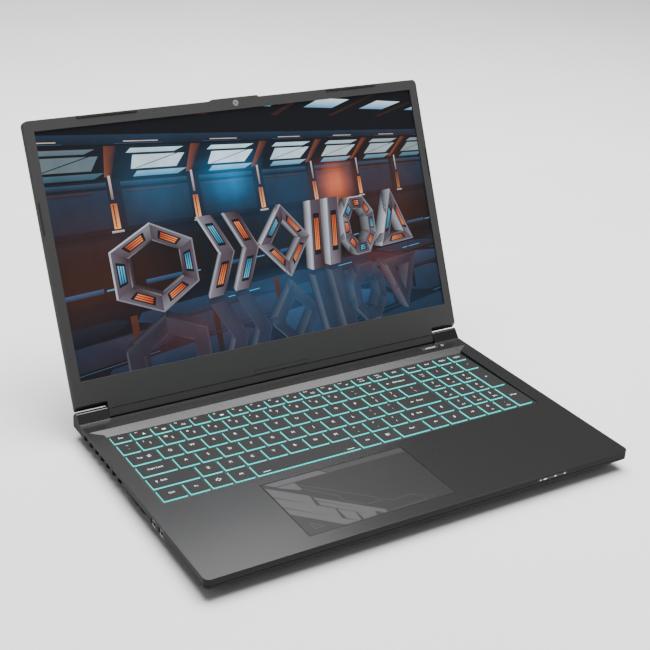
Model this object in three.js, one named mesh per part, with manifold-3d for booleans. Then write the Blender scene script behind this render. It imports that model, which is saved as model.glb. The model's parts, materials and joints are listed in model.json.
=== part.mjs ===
// A 15.6-inch clamshell laptop computer, standing open.
// Millimetres, +X to the right, +Y to the rear, +Z up. The feet stand on Z = 0, and X = Y = 0 is the
// middle of the outline with the lid at its rest angle. Inside this file the base is drawn in a deck
// frame (Z = 0 on the deck's top face, X = Y = 0 in the middle of the base), and the lid in a hinge
// frame (X along the hinge pin, Y up the screen, Z out of the screen, towards the person).
import * as THREE from "three";
import { mergeVertices } from "three/addons/utils/BufferGeometryUtils.js";
import Module from "manifold-3d";

const wasm = await Module();
wasm.setup();

// ---------------------------------------------------------------- driving dimensions
const gap = 0.3; // between pieces that touch, and round pieces that slide
const cut = 1; // how far a cutting tool runs past the face that it cuts

const base = {
  width: 360,
  depth: 238,
  height: 15.2, // deck to underside, without the feet
  cornerRadius: 4.5,
  wall: 1.6,
  deck: 1.8, // thickness of the top face
  skirt: 5, // height of the top cover's side walls
  band: 2.3, // upright band of the bottom cover, above its undercut
  undercutSide: 9,
  undercutFront: 12,
  undercutRear: 4,
  slantRatio: 1.375, // the sloping wall on the floor, over an upright wall
};
const foot = {
  height: 2,
  width: 8,
  frontLength: 42,
  rearLength: 236,
  sideInset: 22,
  frontInset: 5,
  rearInset: 12,
  cornerRadius: 3.9,
};
const lid = {
  thickness: 6.5,
  closedGap: 1, // between the bezel and the deck with the lid shut
  openAngle: 113.9, // degrees from shut to the rest pose
  cornerRadius: 4,
  wall: 1.2,
  bezel: 1.1, // thickness of the bezel plate
  sideBorder: 7.9,
  topBorder: 8.5,
  bottomBorder: 25.9, // from the hinge pin to the picture
  humpWidth: 41,
  humpRise: 1.3,
};
const hinge = {
  setback: 9.96, // from the base's rear face to the pin
  blockWidth: 25.6, // of the corner block at each end
  coverTip: 6.5, // how far the hinge cover reaches past the pin
  coverTop: 1, // where the hinge cover meets the bezel, above the pin
  coverFrontRadius: 2,
  coverBackRadius: 3,
  coverWall: 1,
  coverStep: 0.3, // how far its face lies behind the bezel's
  coverEndWall: 1.2,
  pinRaise: -0.12, // the pin over the middle of the shut lid
  sweepGap: 1, // between the turning hinge cover and its trough
  troughWall: 1.4,
  troughInset: 0.5, // of the trough's wall inside the base's outline
  troughDrop: 0.1, // and under the deck
  blockGap: 0.4, // between the hinge cover's end and a corner block
  blockWall: 1,
  blockFrontSlope: 50,
  blockRearSlope: 45,
  notchGap: 0.7, // between a corner block's slope and the lid's bevelled notch
  ridgeGap: 0.5, // between a corner block's ridge and the lid's lower edge
  pinRadius: 1.1,
  pinGap: 0.2,
  barrelRadius: 1.6,
  leafBarrelRadius: 1.9,
  pinReach: 26, // length of pin inside the hinge cover
  bracketDepth: 18,
  leafWidth: 20,
  leafHeight: 22.5,
  leafThickness: 1,
};
const keyboard = {
  centreX: -0.9,
  unit: 18.13, // pitch of the letter keys
  mainUnits: 14.63, // width of the main block, in letter keys
  keyGap: 2.4,
  rowPitch: 18.1,
  capDepth: 15.7,
  functionDepth: 11.5,
  functionKeys: 16,
  padPitch: 15.95,
  padCap: 13.4,
  padGap: 4.4, // between the main block and the number pad
  frontMargin: 2.9,
  rearMargin: 1.7,
  leftMargin: 2.8,
  rightMargin: 3.2,
  frontDepth: 0.8, // how far the well's floor lies under the deck, in front
  rearDepth: 2.6, // and at the rear
  rearDistance: 39, // from the base's rear face to the well
  capRise: 1.3, // cap above the floor
  travel: 1.3,
  frame: 0.6,
  web: 0.4,
  webWidth: 1.2,
  plate: 0.5,
  ledge: 2,
  ledgeThickness: 0.6,
  wellWall: 1.2,
};
const bar = { depth: 8, rearInset: 2.5 }; // the sloping face between the rear deck and the keyboard well
const touchpad = {
  width: 121.1,
  depth: 71.2,
  centreX: -36,
  rearToWell: 8.7,
  thickness: 1.4,
  sink: 0.15, // its face under the deck
  clickGap: 1,
  ledge: 3,
  ledgeThickness: 1,
  ledgeWall: 1.5,
};
const powerButton = {
  width: 17.5,
  depth: 5.8,
  sideInset: 27.5,
  rearInset: 20.2,
  rise: 0.15,
  stem: 0.6, // play between the deck and the flange
  flange: 0.5,
  lip: 0.8,
};
const lights = { width: 28, height: 1.7, centreX: 104.5, drop: 1.9 };
const sideVent = { count: 7, pitch: 11.1, width: 7.2, top: 3.2, bottom: 10, rearInset: 31 };
const rearVent = { count: 9, pitch: 7.4, width: 5, height: 6, drop: 6.6, centre: 121 };
const floorVent = { count: 8, pitch: 6.2, width: 3, length: 44 };
const board = {
  thickness: 1.4,
  drop: 8, // its top face under the deck
  sideInset: 20,
  rearInset: 26,
  centreWidth: 156,
  centreDepth: 76,
  frontDepth: 47,
  audioWidth: 20,
  audioDepth: 30,
};
const fan = {
  size: 74,
  height: 6,
  wall: 0.8,
  radius: 33,
  inlet: 22,
  outlet: 56,
  centreX: 121,
  rearInset: 64,
  post: 2.4,
  hub: 13,
  blades: 17,
  bladeReach: 31,
  bladeThickness: 1.2,
};
const sink = { width: 70, depth: 15, height: 4.6, fins: 14, fin: 0.8, plate: 0.8, rearInset: 8.6 };
const pipe = {
  width: 7,
  height: 2,
  rearInset: 13,
  spacing: 8.4,
  dip: 30, // how far the middle runs in front of the ends
  reach: 155,
  shoulder: 84,
  elbow: 62,
};
const coldPlate = { width: 32, depth: 27, centreX: 34 };
const battery = { width: 222, depth: 58, height: 6.5, frontInset: 15.5 };
const memory = { length: 69.6, depth: 30, height: 3.2, spacing: 76, centreX: 10 };
const drive = { length: 80, depth: 22, height: 2.4, centreX: -112 };
const radio = { length: 30, depth: 22, height: 2.2, centreX: 105 };
const speaker = {
  width: 36,
  depth: 26,
  height: 5.6,
  sideInset: 12.4,
  frontInset: 16,
  cornerRadius: 3,
  slot: 2,
  slotPitch: 6,
  margin: 4,
};
const card = { boardGap: 0.4, frontInset: 5 }; // the cards under the board
const panel = { thickness: 2.6, overlap: 2 };
const camera = {
  lensRadius: 2.6,
  lensGap: 0.15,
  lensSink: 0.1,
  neckRadius: 1.6,
  boardWidth: 62,
  boardHeight: 3.8,
  boardThickness: 1,
  aboveScreen: 5.1,
};
const bumper = { length: 50, centreX: 112, width: 1.5, rise: 0.6, sunk: 0.5, edge: 0.5, gap: 0.2 };
const cable = { width: 12, thickness: 0.5, centreX: -70, length: 24, drop: 3 };
const socket = { wall: 0.4, tongue: 1.2, tongueGap: 1 };
const ports = {
  usbA: { width: 13.2, height: 5.8, depth: 13.5, drop: 8.8, inset: 2.4 },
  usbC: { width: 9, height: 3.4, depth: 8, drop: 7.6, inset: 1.2 },
  hdmi: { width: 15, height: 5.6, depth: 11 },
  miniDisplay: { width: 8, height: 4.8, depth: 8 },
  round: { size: 6.4, bore: 1.8, depth: 12, drop: 5.9, inset: 0.8 },
  power: { size: 7.4, bore: 2.6, depth: 10.5, pin: 0.8 },
  rearDrop: 9.2, // centre line of the rear ports, under the deck
};
const portPlaces = {
  leftUsb: -15.8,
  microphone: -37.5,
  headphone: -50.1,
  rightUsb: -34,
  rightUsbC: -12,
  hdmi: 30,
  miniDisplay: 4,
  power: -46,
};

// ---------------------------------------------------------------- places worked out from them
const halfWidth = base.width / 2;
const halfDepth = base.depth / 2;
const floorTop = -base.height + base.wall;
const pinY = halfDepth - hinge.setback;
const pinZ = lid.closedGap + lid.thickness / 2 + hinge.pinRaise;
const bezelFace = pinZ - lid.closedGap; // the bezel's face in front of the pin
const lidBack = bezelFace - lid.thickness;
const lidTop = pinY + halfDepth;
const picture = {
  left: -halfWidth + lid.sideBorder,
  right: halfWidth - lid.sideBorder,
  bottom: lid.bottomBorder,
  top: lidTop - lid.topBorder,
};
const blockStart = halfWidth - hinge.blockWidth; // the corner block's inner face
const coverEnd = blockStart - hinge.blockGap;
const blockRadius = hinge.barrelRadius + gap + hinge.blockWall;
const notchEdge = blockRadius + hinge.ridgeGap; // the lid's lower edge at its notches, above the pin

// ---------------------------------------------------------------- materials
const material = (color, roughness, metalness) =>
  new THREE.MeshStandardMaterial({ color, roughness, metalness });
const finish = {
  cover: material(0x3a3a3b, 0.5, 0.1),
  dark: material(0x202022, 0.6, 0.05),
  key: material(0x3d3a3c, 0.6, 0),
  steel: material(0xa8abb0, 0.35, 0.9),
  copper: material(0xb87345, 0.3, 0.9),
  board: material(0x174a34, 0.6, 0.1),
  rubber: material(0x151515, 0.9, 0),
  glass: material(0x0c1420, 0.12, 0),
  light: material(0x7fe5e0, 0.4, 0),
};

// ---------------------------------------------------------------- solids
function solid(geometry) {
  geometry.deleteAttribute("normal");
  geometry.deleteAttribute("uv");
  const merged = mergeVertices(geometry, 1e-4);
  return new wasm.Manifold(
    new wasm.Mesh({
      numProp: 3,
      vertProperties: merged.attributes.position.array,
      triVerts: new Uint32Array(merged.index.array),
    }),
  );
}

function block(x0, x1, y0, y1, z0, z1) {
  const box = new THREE.BoxGeometry(x1 - x0, y1 - y0, z1 - z0);
  return solid(box.translate((x0 + x1) / 2, (y0 + y1) / 2, (z0 + z1) / 2));
}

function extrude(points, length) {
  const shape = new THREE.Shape(points.map(([a, b]) => new THREE.Vector2(a, b)));
  return new THREE.ExtrudeGeometry(shape, { depth: length, bevelEnabled: false });
}

// A profile of [x, y] points raised from z0 to z1.
const plate = (points, z0, z1) => solid(extrude(points, z1 - z0).translate(0, 0, z0));

// A profile of [y, z] points run along X.
function rail(points, x0, x1) {
  const turn = new THREE.Matrix4().makeBasis(
    new THREE.Vector3(0, 1, 0),
    new THREE.Vector3(0, 0, 1),
    new THREE.Vector3(1, 0, 0),
  );
  return solid(extrude(points, x1 - x0).applyMatrix4(turn).translate(x0, 0, 0));
}

function arc(centreA, centreB, radius, from, to, steps) {
  return Array.from({ length: steps + 1 }, (_, i) => {
    const angle = THREE.MathUtils.degToRad(from + ((to - from) * i) / steps);
    return [centreA + radius * Math.cos(angle), centreB + radius * Math.sin(angle)];
  });
}

const circle = (a, b, radius, steps) => arc(a, b, radius, 0, 360 - 360 / steps, steps - 1);

function roundedRectangle(x0, x1, y0, y1, radius, steps = 5) {
  return [
    ...arc(x1 - radius, y1 - radius, radius, 0, 90, steps),
    ...arc(x0 + radius, y1 - radius, radius, 90, 180, steps),
    ...arc(x0 + radius, y0 + radius, radius, 180, 270, steps),
    ...arc(x1 - radius, y0 + radius, radius, 270, 360, steps),
  ];
}

// A solid skinned over convex outlines of equally many points, from the lowest to the highest.
function loft(rings) {
  const count = rings[0].outline.length;
  const positions = rings.flatMap(({ outline, z }) => outline.flatMap(([x, y]) => [x, y, z]));
  const faces = [];
  for (let ring = 0; ring + 1 < rings.length; ring++) {
    for (let i = 0; i < count; i++) {
      const a = ring * count + i;
      const b = ring * count + ((i + 1) % count);
      faces.push(a, b, b + count, a, b + count, a + count);
    }
  }
  const last = (rings.length - 1) * count;
  for (let i = 1; i + 1 < count; i++) {
    faces.push(0, i + 1, i, last, last + i, last + i + 1);
  }
  const geometry = new THREE.BufferGeometry();
  geometry.setAttribute("position", new THREE.Float32BufferAttribute(positions, 3));
  geometry.setIndex(faces);
  return solid(geometry);
}

function rodX(y, z, radius, x0, x1, steps = 24) {
  return rail(circle(y, z, radius, steps), x0, x1);
}

const join = (...solids) => solids.reduce((all, one) => all.add(one));
const carve = (body, ...tools) => tools.reduce((rest, tool) => rest.subtract(tool), body);

// A port, drawn with its mouth at y = 0 and its body behind it, turned to face the given way.
function facing(direction, body, x, y, z) {
  const turns = { front: 0, right: 90, rear: 180, left: -90 };
  const matrix = new THREE.Matrix4()
    .makeTranslation(x, y, z)
    .multiply(new THREE.Matrix4().makeRotationZ(THREE.MathUtils.degToRad(turns[direction])));
  return body.transform(matrix.toArray());
}

// ---------------------------------------------------------------- the scene graph
const laptop = new THREE.Group();
const lidGroup = new THREE.Group();
lidGroup.position.set(0, pinY, pinZ);
lidGroup.rotation.x = Math.PI - THREE.MathUtils.degToRad(lid.openAngle);
laptop.add(lidGroup);

function add(name, body, surface, group = laptop) {
  const { vertProperties, triVerts } = body.getMesh();
  const geometry = new THREE.BufferGeometry();
  geometry.setAttribute("position", new THREE.BufferAttribute(vertProperties, 3));
  geometry.setIndex(new THREE.BufferAttribute(triVerts, 1));
  const mesh = new THREE.Mesh(geometry, surface);
  mesh.name = name;
  group.add(mesh);
  return mesh;
}

// ---------------------------------------------------------------- the keyboard
const mainWidth = keyboard.mainUnits * keyboard.unit;
const padWidth = 3 * keyboard.padPitch + keyboard.padCap;
const rowGap = keyboard.rowPitch - keyboard.capDepth;
const well = {
  width:
    keyboard.leftMargin + mainWidth - keyboard.keyGap +
    keyboard.padGap + padWidth + keyboard.rightMargin,
  depth:
    keyboard.frontMargin + 4 * keyboard.rowPitch + keyboard.capDepth +
    rowGap + keyboard.functionDepth + keyboard.rearMargin,
  rear: halfDepth - keyboard.rearDistance,
};
well.left = keyboard.centreX - well.width / 2;
well.right = keyboard.centreX + well.width / 2;
well.front = well.rear - well.depth;
const wellTilt = -Math.atan2(keyboard.rearDepth - keyboard.frontDepth, well.depth);

// Pieces of the keyboard are drawn on the well's floor, with y = 0 at its front edge.
const wellPlace = new THREE.Matrix4()
  .makeTranslation(0, well.front, -keyboard.frontDepth)
  .multiply(new THREE.Matrix4().makeRotationX(wellTilt));
const inWell = (body) => body.transform(wellPlace.toArray());

const firstKey = well.left + keyboard.leftMargin;
const padStart = firstKey + mainWidth - keyboard.keyGap + keyboard.padGap;
const rowFront = (row) => keyboard.frontMargin + (6 - row) * keyboard.rowPitch;

// The keys of one row of the main block, from their widths in letter keys; the last fills the row.
function mainKeys(row, widths, fills = true) {
  const used = widths.reduce((sum, width) => sum + width, 0);
  const all = fills ? [...widths, keyboard.mainUnits - used] : widths;
  let x = firstKey;
  return all.map((width) => {
    const key = { x0: x, x1: x + width * keyboard.unit - keyboard.keyGap, row };
    x += width * keyboard.unit;
    return key;
  });
}

function padKey(column, row, rows = 1) {
  const x0 = padStart + column * keyboard.padPitch;
  return { x0, x1: x0 + keyboard.padCap, row, rows };
}

const capDrop = keyboard.frame + gap + keyboard.web; // how far a cap reaches under the floor
const plateTop = capDrop + keyboard.travel + gap; // the base plate under the floor
const wellBottom = plateTop + keyboard.plate + gap + keyboard.ledgeThickness;

const letters = (count) => Array(count).fill(1);
const functionWidth = keyboard.mainUnits / keyboard.functionKeys;
const functionRow = mainKeys(1, Array(keyboard.functionKeys - 1).fill(functionWidth));
const numberRow = mainKeys(2, [0.88, ...letters(12)]);
const upperRow = mainKeys(3, [1.37, ...letters(12)]);
const homeRow = mainKeys(4, [1.62, ...letters(11)]);
const lowerRow = mainKeys(5, [2.14, ...letters(10), 1.5]);
const bottomRow = mainKeys(6, [1.14, 0.96, 1, 1, 4.97, 1.03, 1, 1.52, 1, 1, 1], false);
const keyGroups = {
  function_keys: [...functionRow, padKey(0, 1), padKey(1, 1), padKey(2, 1), padKey(3, 1)],
  number_keys: [...numberRow.slice(0, 13), padKey(0, 2), padKey(1, 2), padKey(2, 2), padKey(3, 2)],
  backspace_key: numberRow.slice(13),
  upper_letter_keys: [...upperRow, padKey(0, 3), padKey(1, 3), padKey(2, 3), padKey(3, 3, 2)],
  home_letter_keys: [...homeRow.slice(0, 12), padKey(0, 4), padKey(1, 4), padKey(2, 4)],
  enter_key: homeRow.slice(12),
  left_shift_key: lowerRow.slice(0, 1),
  lower_letter_keys: [
    ...lowerRow.slice(1, 11), lowerRow[12],
    padKey(0, 5), padKey(1, 5), padKey(2, 5), padKey(3, 5, 2),
  ],
  right_shift_key: lowerRow.slice(11, 12),
  bottom_left_keys: bottomRow.slice(0, 4),
  space_bar: bottomRow.slice(4, 5),
  bottom_right_keys: [...bottomRow.slice(5), padKey(1, 6), padKey(2, 6)],
};

// The front and rear edges of a key on the floor. A tall key also covers the row in front of its own.
function keyDepths({ row, rows = 1 }) {
  const rear = rowFront(row) + (row === 1 ? keyboard.functionDepth : keyboard.capDepth);
  return [rowFront(row + rows - 1), rear];
}

function keyCap(key) {
  const [front, rear] = keyDepths(key);
  return block(key.x0, key.x1, front, rear, -capDrop, keyboard.capRise);
}

// A strip under the frame, in the gap in front of the row, that joins the keys of one group.
function keyWeb(keys) {
  const { row } = keys[0];
  const gapWidth = row === 6 ? keyboard.frontMargin : rowGap;
  const stripRear = rowFront(row) - (gapWidth - keyboard.webWidth) / 2;
  const bottom = -capDrop;
  const top = bottom + keyboard.web;
  const strip = block(keys[0].x0, keys.at(-1).x1, stripRear - keyboard.webWidth, stripRear, bottom, top);
  const tabs = keys.filter((key) => !(key.rows > 1)).map(({ x0, x1 }) => {
    const middle = (x0 + x1) / 2;
    const half = keyboard.webWidth;
    return block(middle - half, middle + half, stripRear, rowFront(row) + half, bottom, top);
  });
  return join(strip, ...tabs);
}

function addKeys() {
  for (const [name, keys] of Object.entries(keyGroups)) {
    const caps = join(...keys.map(keyCap));
    add(name, inWell(keys.length > 1 ? join(caps, keyWeb(keys)) : caps), finish.key);
  }
}

const wellBlock = (inset, z0, z1) =>
  block(well.left + inset, well.right - inset, inset, well.depth - inset, z0, z1);

function keyboardFrame() {
  const holes = Object.values(keyGroups).flat().map((key) => {
    const [front, rear] = keyDepths(key);
    return block(key.x0 - gap, key.x1 + gap, front - gap, rear + gap, -keyboard.frame - cut, cut);
  });
  return inWell(carve(wellBlock(gap, -keyboard.frame, 0), ...holes));
}

const keyboardPlate = () =>
  inWell(wellBlock(gap, -plateTop - keyboard.plate, -plateTop));

// ---------------------------------------------------------------- the base's covers
const baseOutline = (inset, radius) =>
  roundedRectangle(-halfWidth + inset, halfWidth - inset, -halfDepth + inset, halfDepth - inset, radius);

const coverReach = Math.max(...coverProfile(0).map(([y, z]) => Math.hypot(y, z)));

// The hinge corner block in profile: a round ridge on the pin's axis with a slope on each side.
function cornerProfile(radius, foundation) {
  const front = THREE.MathUtils.degToRad(hinge.blockFrontSlope);
  const rear = THREE.MathUtils.degToRad(hinge.blockRearSlope);
  const height = pinZ - foundation;
  return [
    [pinY - radius / Math.sin(front) - height / Math.tan(front), foundation],
    [pinY + radius / Math.sin(rear) + height / Math.tan(rear), foundation],
    ...arc(pinY, pinZ, radius, 90 - hinge.blockRearSlope, 90 + hinge.blockFrontSlope, 8),
  ];
}

function cornerBlock(side) {
  const inner = rail(cornerProfile(blockRadius, -base.deck), 0, halfWidth - blockStart);
  return inner.translate([side < 0 ? -halfWidth : blockStart, 0, 0]);
}

// The room inside a corner block for the hinge bracket's upright and barrel.
function cornerRoom(side) {
  const inset = base.wall;
  const radius = hinge.barrelRadius + gap;
  const room = join(
    rodX(pinY, pinZ, radius, 0, halfWidth - blockStart - 2 * inset),
    block(0, halfWidth - blockStart - 2 * inset, pinY - radius, pinY + radius, -base.deck - cut, pinZ),
  );
  return room.translate([side < 0 ? -halfWidth + inset : blockStart + inset, 0, 0]);
}

function pinHole(side) {
  const reach = base.wall + 2 * cut;
  return rodX(pinY, pinZ, hinge.pinRadius + gap, 0, reach + cut).translate([
    side < 0 ? -blockStart - reach : blockStart - cut, 0, 0,
  ]);
}

function topCover() {
  const deck = plate(baseOutline(0, base.cornerRadius), -base.skirt, 0);
  const inside = plate(
    baseOutline(base.wall, base.cornerRadius - base.wall), -base.skirt - cut, -base.deck,
  );
  const outerHull = plate(baseOutline(0, base.cornerRadius), -base.height, base.height);
  const wellWalls = inWell(wellBlock(-keyboard.wellWall, -wellBottom, keyboard.rearDepth + cut));
  const slope = [
    [well.rear, -keyboard.rearDepth - base.deck],
    [well.rear + bar.depth, -base.deck],
    [well.rear + bar.depth, 0],
    [well.rear, 0],
  ];
  const aboveSlope = [
    [well.rear - cut, cut],
    [well.rear - cut, -keyboard.rearDepth - (cut * keyboard.rearDepth) / bar.depth],
    [well.rear + bar.depth, 0],
    [well.rear + bar.depth, cut],
  ];
  const sweep = coverReach + hinge.sweepGap;
  const troughEnd = blockStart + hinge.troughWall;
  const troughWall = rodX(pinY, pinZ, sweep + hinge.troughWall, -troughEnd, troughEnd, 56);
  const pad = touchpadPlace();
  const padShelf = block(
    pad.left - touchpad.ledgeWall, pad.right + touchpad.ledgeWall,
    pad.front - touchpad.ledgeWall, pad.rear + touchpad.ledgeWall,
    -padShelfBottom, -base.deck / 2,
  );
  const padOpening = block(
    pad.left, pad.right, pad.front, pad.rear, -padShelfBottom + touchpad.ledgeThickness, cut,
  );
  const padWindow = block(
    pad.left + touchpad.ledge, pad.right - touchpad.ledge,
    pad.front + touchpad.ledge, pad.rear - touchpad.ledge, -padShelfBottom - cut, cut,
  );
  let body = join(carve(deck, inside), padShelf);
  const troughRoom = baseOutline(hinge.troughInset, base.cornerRadius);
  body = body.add(troughWall.intersect(plate(troughRoom, -base.height, -hinge.troughDrop)));
  body = body.add(wellWalls.intersect(plate(baseOutline(0, base.cornerRadius), -base.height, 0)));
  const barEnd = halfWidth - bar.rearInset;
  const barPlan = [
    [well.left, well.rear - cut],
    [well.right, well.rear - cut],
    [well.right, well.rear],
    [barEnd, well.rear + bar.depth],
    [-barEnd, well.rear + bar.depth],
    [well.left, well.rear],
  ];
  const barCut = plate(barPlan, -base.height, base.height).intersect(rail(aboveSlope, -barEnd, barEnd));
  body = body.add(rail(slope, -barEnd, barEnd));
  body = body.add(join(cornerBlock(-1), cornerBlock(1)).intersect(outerHull));
  const innerWell = join(
    wellBlock(0, -wellBottom + keyboard.ledgeThickness, base.height),
    wellBlock(keyboard.ledge, -base.height, base.height),
  );
  return carve(
    body,
    inWell(innerWell),
    barCut,
    rodX(pinY, pinZ, sweep, -blockStart, blockStart, 56),
    cornerRoom(-1), cornerRoom(1), pinHole(-1), pinHole(1),
    padOpening, padWindow, buttonHole(), lightHole(),
    ...sideVents(), ...sidePortHoles(),
  );
}

const padShelfBottom =
  touchpad.sink + touchpad.thickness + touchpad.clickGap + touchpad.ledgeThickness;

function touchpadPlace() {
  const rear = well.front - touchpad.rearToWell;
  return {
    left: touchpad.centreX - touchpad.width / 2,
    right: touchpad.centreX + touchpad.width / 2,
    front: rear - touchpad.depth,
    rear,
  };
}

function buttonPlace(grow) {
  const right = halfWidth - powerButton.sideInset + grow;
  const rear = halfDepth - powerButton.rearInset + grow;
  return [right - powerButton.width - 2 * grow, right, rear - powerButton.depth - 2 * grow, rear];
}

const buttonHole = () => block(...buttonPlace(0), -base.deck - cut, cut);

function lightHole() {
  const left = lights.centreX - lights.width / 2;
  const top = -lights.drop;
  return block(
    left, left + lights.width, -halfDepth - cut, -halfDepth + base.wall + cut, top - lights.height, top,
  );
}

// The air slots along both side walls, from the rear forward.
function sideVents() {
  const rearmost = halfDepth - sideVent.rearInset;
  return Array.from({ length: sideVent.count }, (_, i) => {
    const y = rearmost - i * sideVent.pitch;
    const slot = [y - sideVent.width / 2, y + sideVent.width / 2, -sideVent.bottom, -sideVent.top];
    const reach = base.undercutSide;
    return [
      block(-halfWidth - cut, -halfWidth + reach, ...slot),
      block(halfWidth - reach, halfWidth + cut, ...slot),
    ];
  }).flat();
}

const sidePorts = [
  { name: "usb_port_left", kind: "usbA", side: "left", y: portPlaces.leftUsb },
  { name: "microphone_jack", kind: "round", side: "left", y: portPlaces.microphone },
  { name: "headphone_jack", kind: "round", side: "left", y: portPlaces.headphone },
  { name: "usb_port_right", kind: "usbA", side: "right", y: portPlaces.rightUsb },
  { name: "usb_c_port", kind: "usbC", side: "right", y: portPlaces.rightUsbC },
];
const rearPorts = [
  { name: "hdmi_port", kind: "hdmi", x: portPlaces.hdmi },
  { name: "mini_display_port", kind: "miniDisplay", x: portPlaces.miniDisplay },
  { name: "power_jack", kind: "power", x: portPlaces.power },
];

function portSize(kind) {
  const { width, height, size } = ports[kind];
  return { width: width ?? size, height: height ?? size };
}

const sidePortHoles = () => sidePorts.map(({ kind, side, y }) => {
  const { width, height } = portSize(kind);
  const { drop } = ports[kind];
  const [x0, x1] = side === "left"
    ? [-halfWidth - cut, -halfWidth + base.undercutSide]
    : [halfWidth - base.undercutSide, halfWidth + cut];
  return block(
    x0, x1, y - width / 2 - gap, y + width / 2 + gap,
    -drop - height / 2 - gap, -drop + height / 2 + gap,
  );
});

const rearPortHoles = () => rearPorts.map(({ kind, x }) => {
  const { width, height } = portSize(kind);
  return block(
    x - width / 2 - gap, x + width / 2 + gap, halfDepth - base.undercutRear - 3 * cut, halfDepth + cut,
    -ports.rearDrop - height / 2 - gap, -ports.rearDrop + height / 2 + gap,
  );
});

function rearVents() {
  const slots = [];
  for (const side of [-1, 1]) {
    for (let i = 0; i < rearVent.count; i++) {
      const x = side * rearVent.centre + (i - (rearVent.count - 1) / 2) * rearVent.pitch;
      slots.push(block(
        x - rearVent.width / 2, x + rearVent.width / 2,
        halfDepth - base.undercutRear - 2 * cut, halfDepth + cut,
        -rearVent.drop - rearVent.height, -rearVent.drop,
      ));
    }
  }
  return slots;
}

const fanY = halfDepth - fan.rearInset;

function floorVents() {
  const slots = [];
  for (const side of [-1, 1]) {
    for (let i = 0; i < floorVent.count; i++) {
      const y = fanY + (i - (floorVent.count - 1) / 2) * floorVent.pitch;
      const x = side * fan.centreX;
      slots.push(block(
        x - floorVent.length / 2, x + floorVent.length / 2,
        y - floorVent.width / 2, y + floorVent.width / 2, -base.height - cut, floorTop + cut,
      ));
    }
  }
  return slots;
}

function undercutOutline(wall) {
  return roundedRectangle(
    -halfWidth + base.undercutSide + wall, halfWidth - base.undercutSide - wall,
    -halfDepth + base.undercutFront + wall, halfDepth - base.undercutRear - wall,
    base.cornerRadius - wall / 2,
  );
}

function bottomCover() {
  const top = -base.skirt - gap;
  const bandBottom = -base.skirt - base.band;
  const slantWall = base.wall * base.slantRatio;
  const outer = loft([
    { outline: undercutOutline(0), z: -base.height },
    { outline: baseOutline(0, base.cornerRadius), z: bandBottom },
    { outline: baseOutline(0, base.cornerRadius), z: top },
  ]);
  const inner = loft([
    { outline: undercutOutline(slantWall), z: floorTop },
    { outline: baseOutline(base.wall, base.cornerRadius - base.wall), z: bandBottom },
    { outline: baseOutline(base.wall, base.cornerRadius - base.wall), z: top + cut },
  ]);
  return carve(
    outer, inner,
    ...sideVents(), ...sidePortHoles(), ...rearPortHoles(), ...rearVents(), ...floorVents(),
    ...speakerSlots(),
  );
}

function speakerPlace(side) {
  const outer = halfWidth - base.undercutSide - speaker.sideInset;
  const inner = outer - speaker.width;
  const front = -halfDepth + base.undercutFront + speaker.frontInset;
  return [...(side < 0 ? [-outer, -inner] : [inner, outer]), front, front + speaker.depth];
}

const speakerSlots = () => [-1, 1].flatMap((side) => {
  const [x0, x1, y0, y1] = speakerPlace(side);
  return [-1, 0, 1].map((i) => {
    const y = (y0 + y1) / 2 + i * speaker.slotPitch;
    return block(
      x0 + speaker.margin, x1 - speaker.margin, y, y + speaker.slot, -base.height - cut, floorTop + cut,
    );
  });
});

function feetPieces() {
  const top = -base.height;
  const bottom = top - foot.height;
  const side = halfWidth - base.undercutSide - foot.sideInset;
  const front = -halfDepth + base.undercutFront + foot.frontInset;
  const rear = halfDepth - base.undercutRear - foot.rearInset;
  const pad = (x0, x1, y0) =>
    plate(roundedRectangle(x0, x1, y0, y0 + foot.width, foot.cornerRadius, 4), bottom, top);
  add("foot_front_left", pad(-side, -side + foot.frontLength, front), finish.rubber);
  add("foot_front_right", pad(side - foot.frontLength, side, front), finish.rubber);
  add("foot_rear", pad(-foot.rearLength / 2, foot.rearLength / 2, rear - foot.width), finish.rubber);
}

// ---------------------------------------------------------------- what sits in the base
function powerButtonBody() {
  const top = powerButton.rise;
  const flangeTop = -base.deck - powerButton.stem;
  return join(
    block(...buttonPlace(-gap), flangeTop, top),
    block(...buttonPlace(powerButton.lip), flangeTop - powerButton.flange, flangeTop),
  );
}

function touchpadBody() {
  const { left, right, front, rear } = touchpadPlace();
  return block(
    left + gap, right - gap, front + gap, rear - gap, -touchpad.sink - touchpad.thickness, -touchpad.sink,
  );
}

function lightWindow() {
  const left = lights.centreX - lights.width / 2;
  const top = -lights.drop - gap / 2;
  return block(
    left + gap / 2, left + lights.width - gap / 2, -halfDepth, -halfDepth + base.wall + cut,
    top - lights.height + gap, top,
  );
}

function hingeBracket(side) {
  const outer = halfWidth - base.wall - gap;
  const inner = blockStart + base.wall + gap;
  const upright = hinge.barrelRadius;
  const top = -base.deck - gap;
  const bottom = top - hinge.leafThickness;
  const bracket = join(
    block(inner, outer, pinY - hinge.bracketDepth, pinY + upright, bottom, top),
    block(inner, outer, pinY - upright, pinY + upright, bottom, pinZ),
    rodX(pinY, pinZ, hinge.barrelRadius, inner, outer),
    rodX(pinY, pinZ, hinge.pinRadius, coverEnd - hinge.pinReach, inner),
  );
  return side < 0 ? bracket.mirror([1, 0, 0]) : bracket;
}

const boardTop = -board.drop;
const boardBottom = boardTop - board.thickness;

const boardRear = halfDepth - board.rearInset;
const boardMiddle = boardRear - board.centreDepth;
const boardFront = boardMiddle - board.frontDepth;

function motherboard() {
  const side = halfWidth - board.sideInset;
  const centre = board.centreWidth / 2;
  return join(
    block(-side, side, boardFront, boardMiddle, boardBottom, boardTop),
    block(-centre, centre, boardMiddle - cut, boardRear, boardBottom, boardTop),
    block(
      -side, -side + board.audioWidth,
      boardFront - board.audioDepth, boardFront + cut, boardBottom, boardTop,
    ),
  );
}

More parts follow.
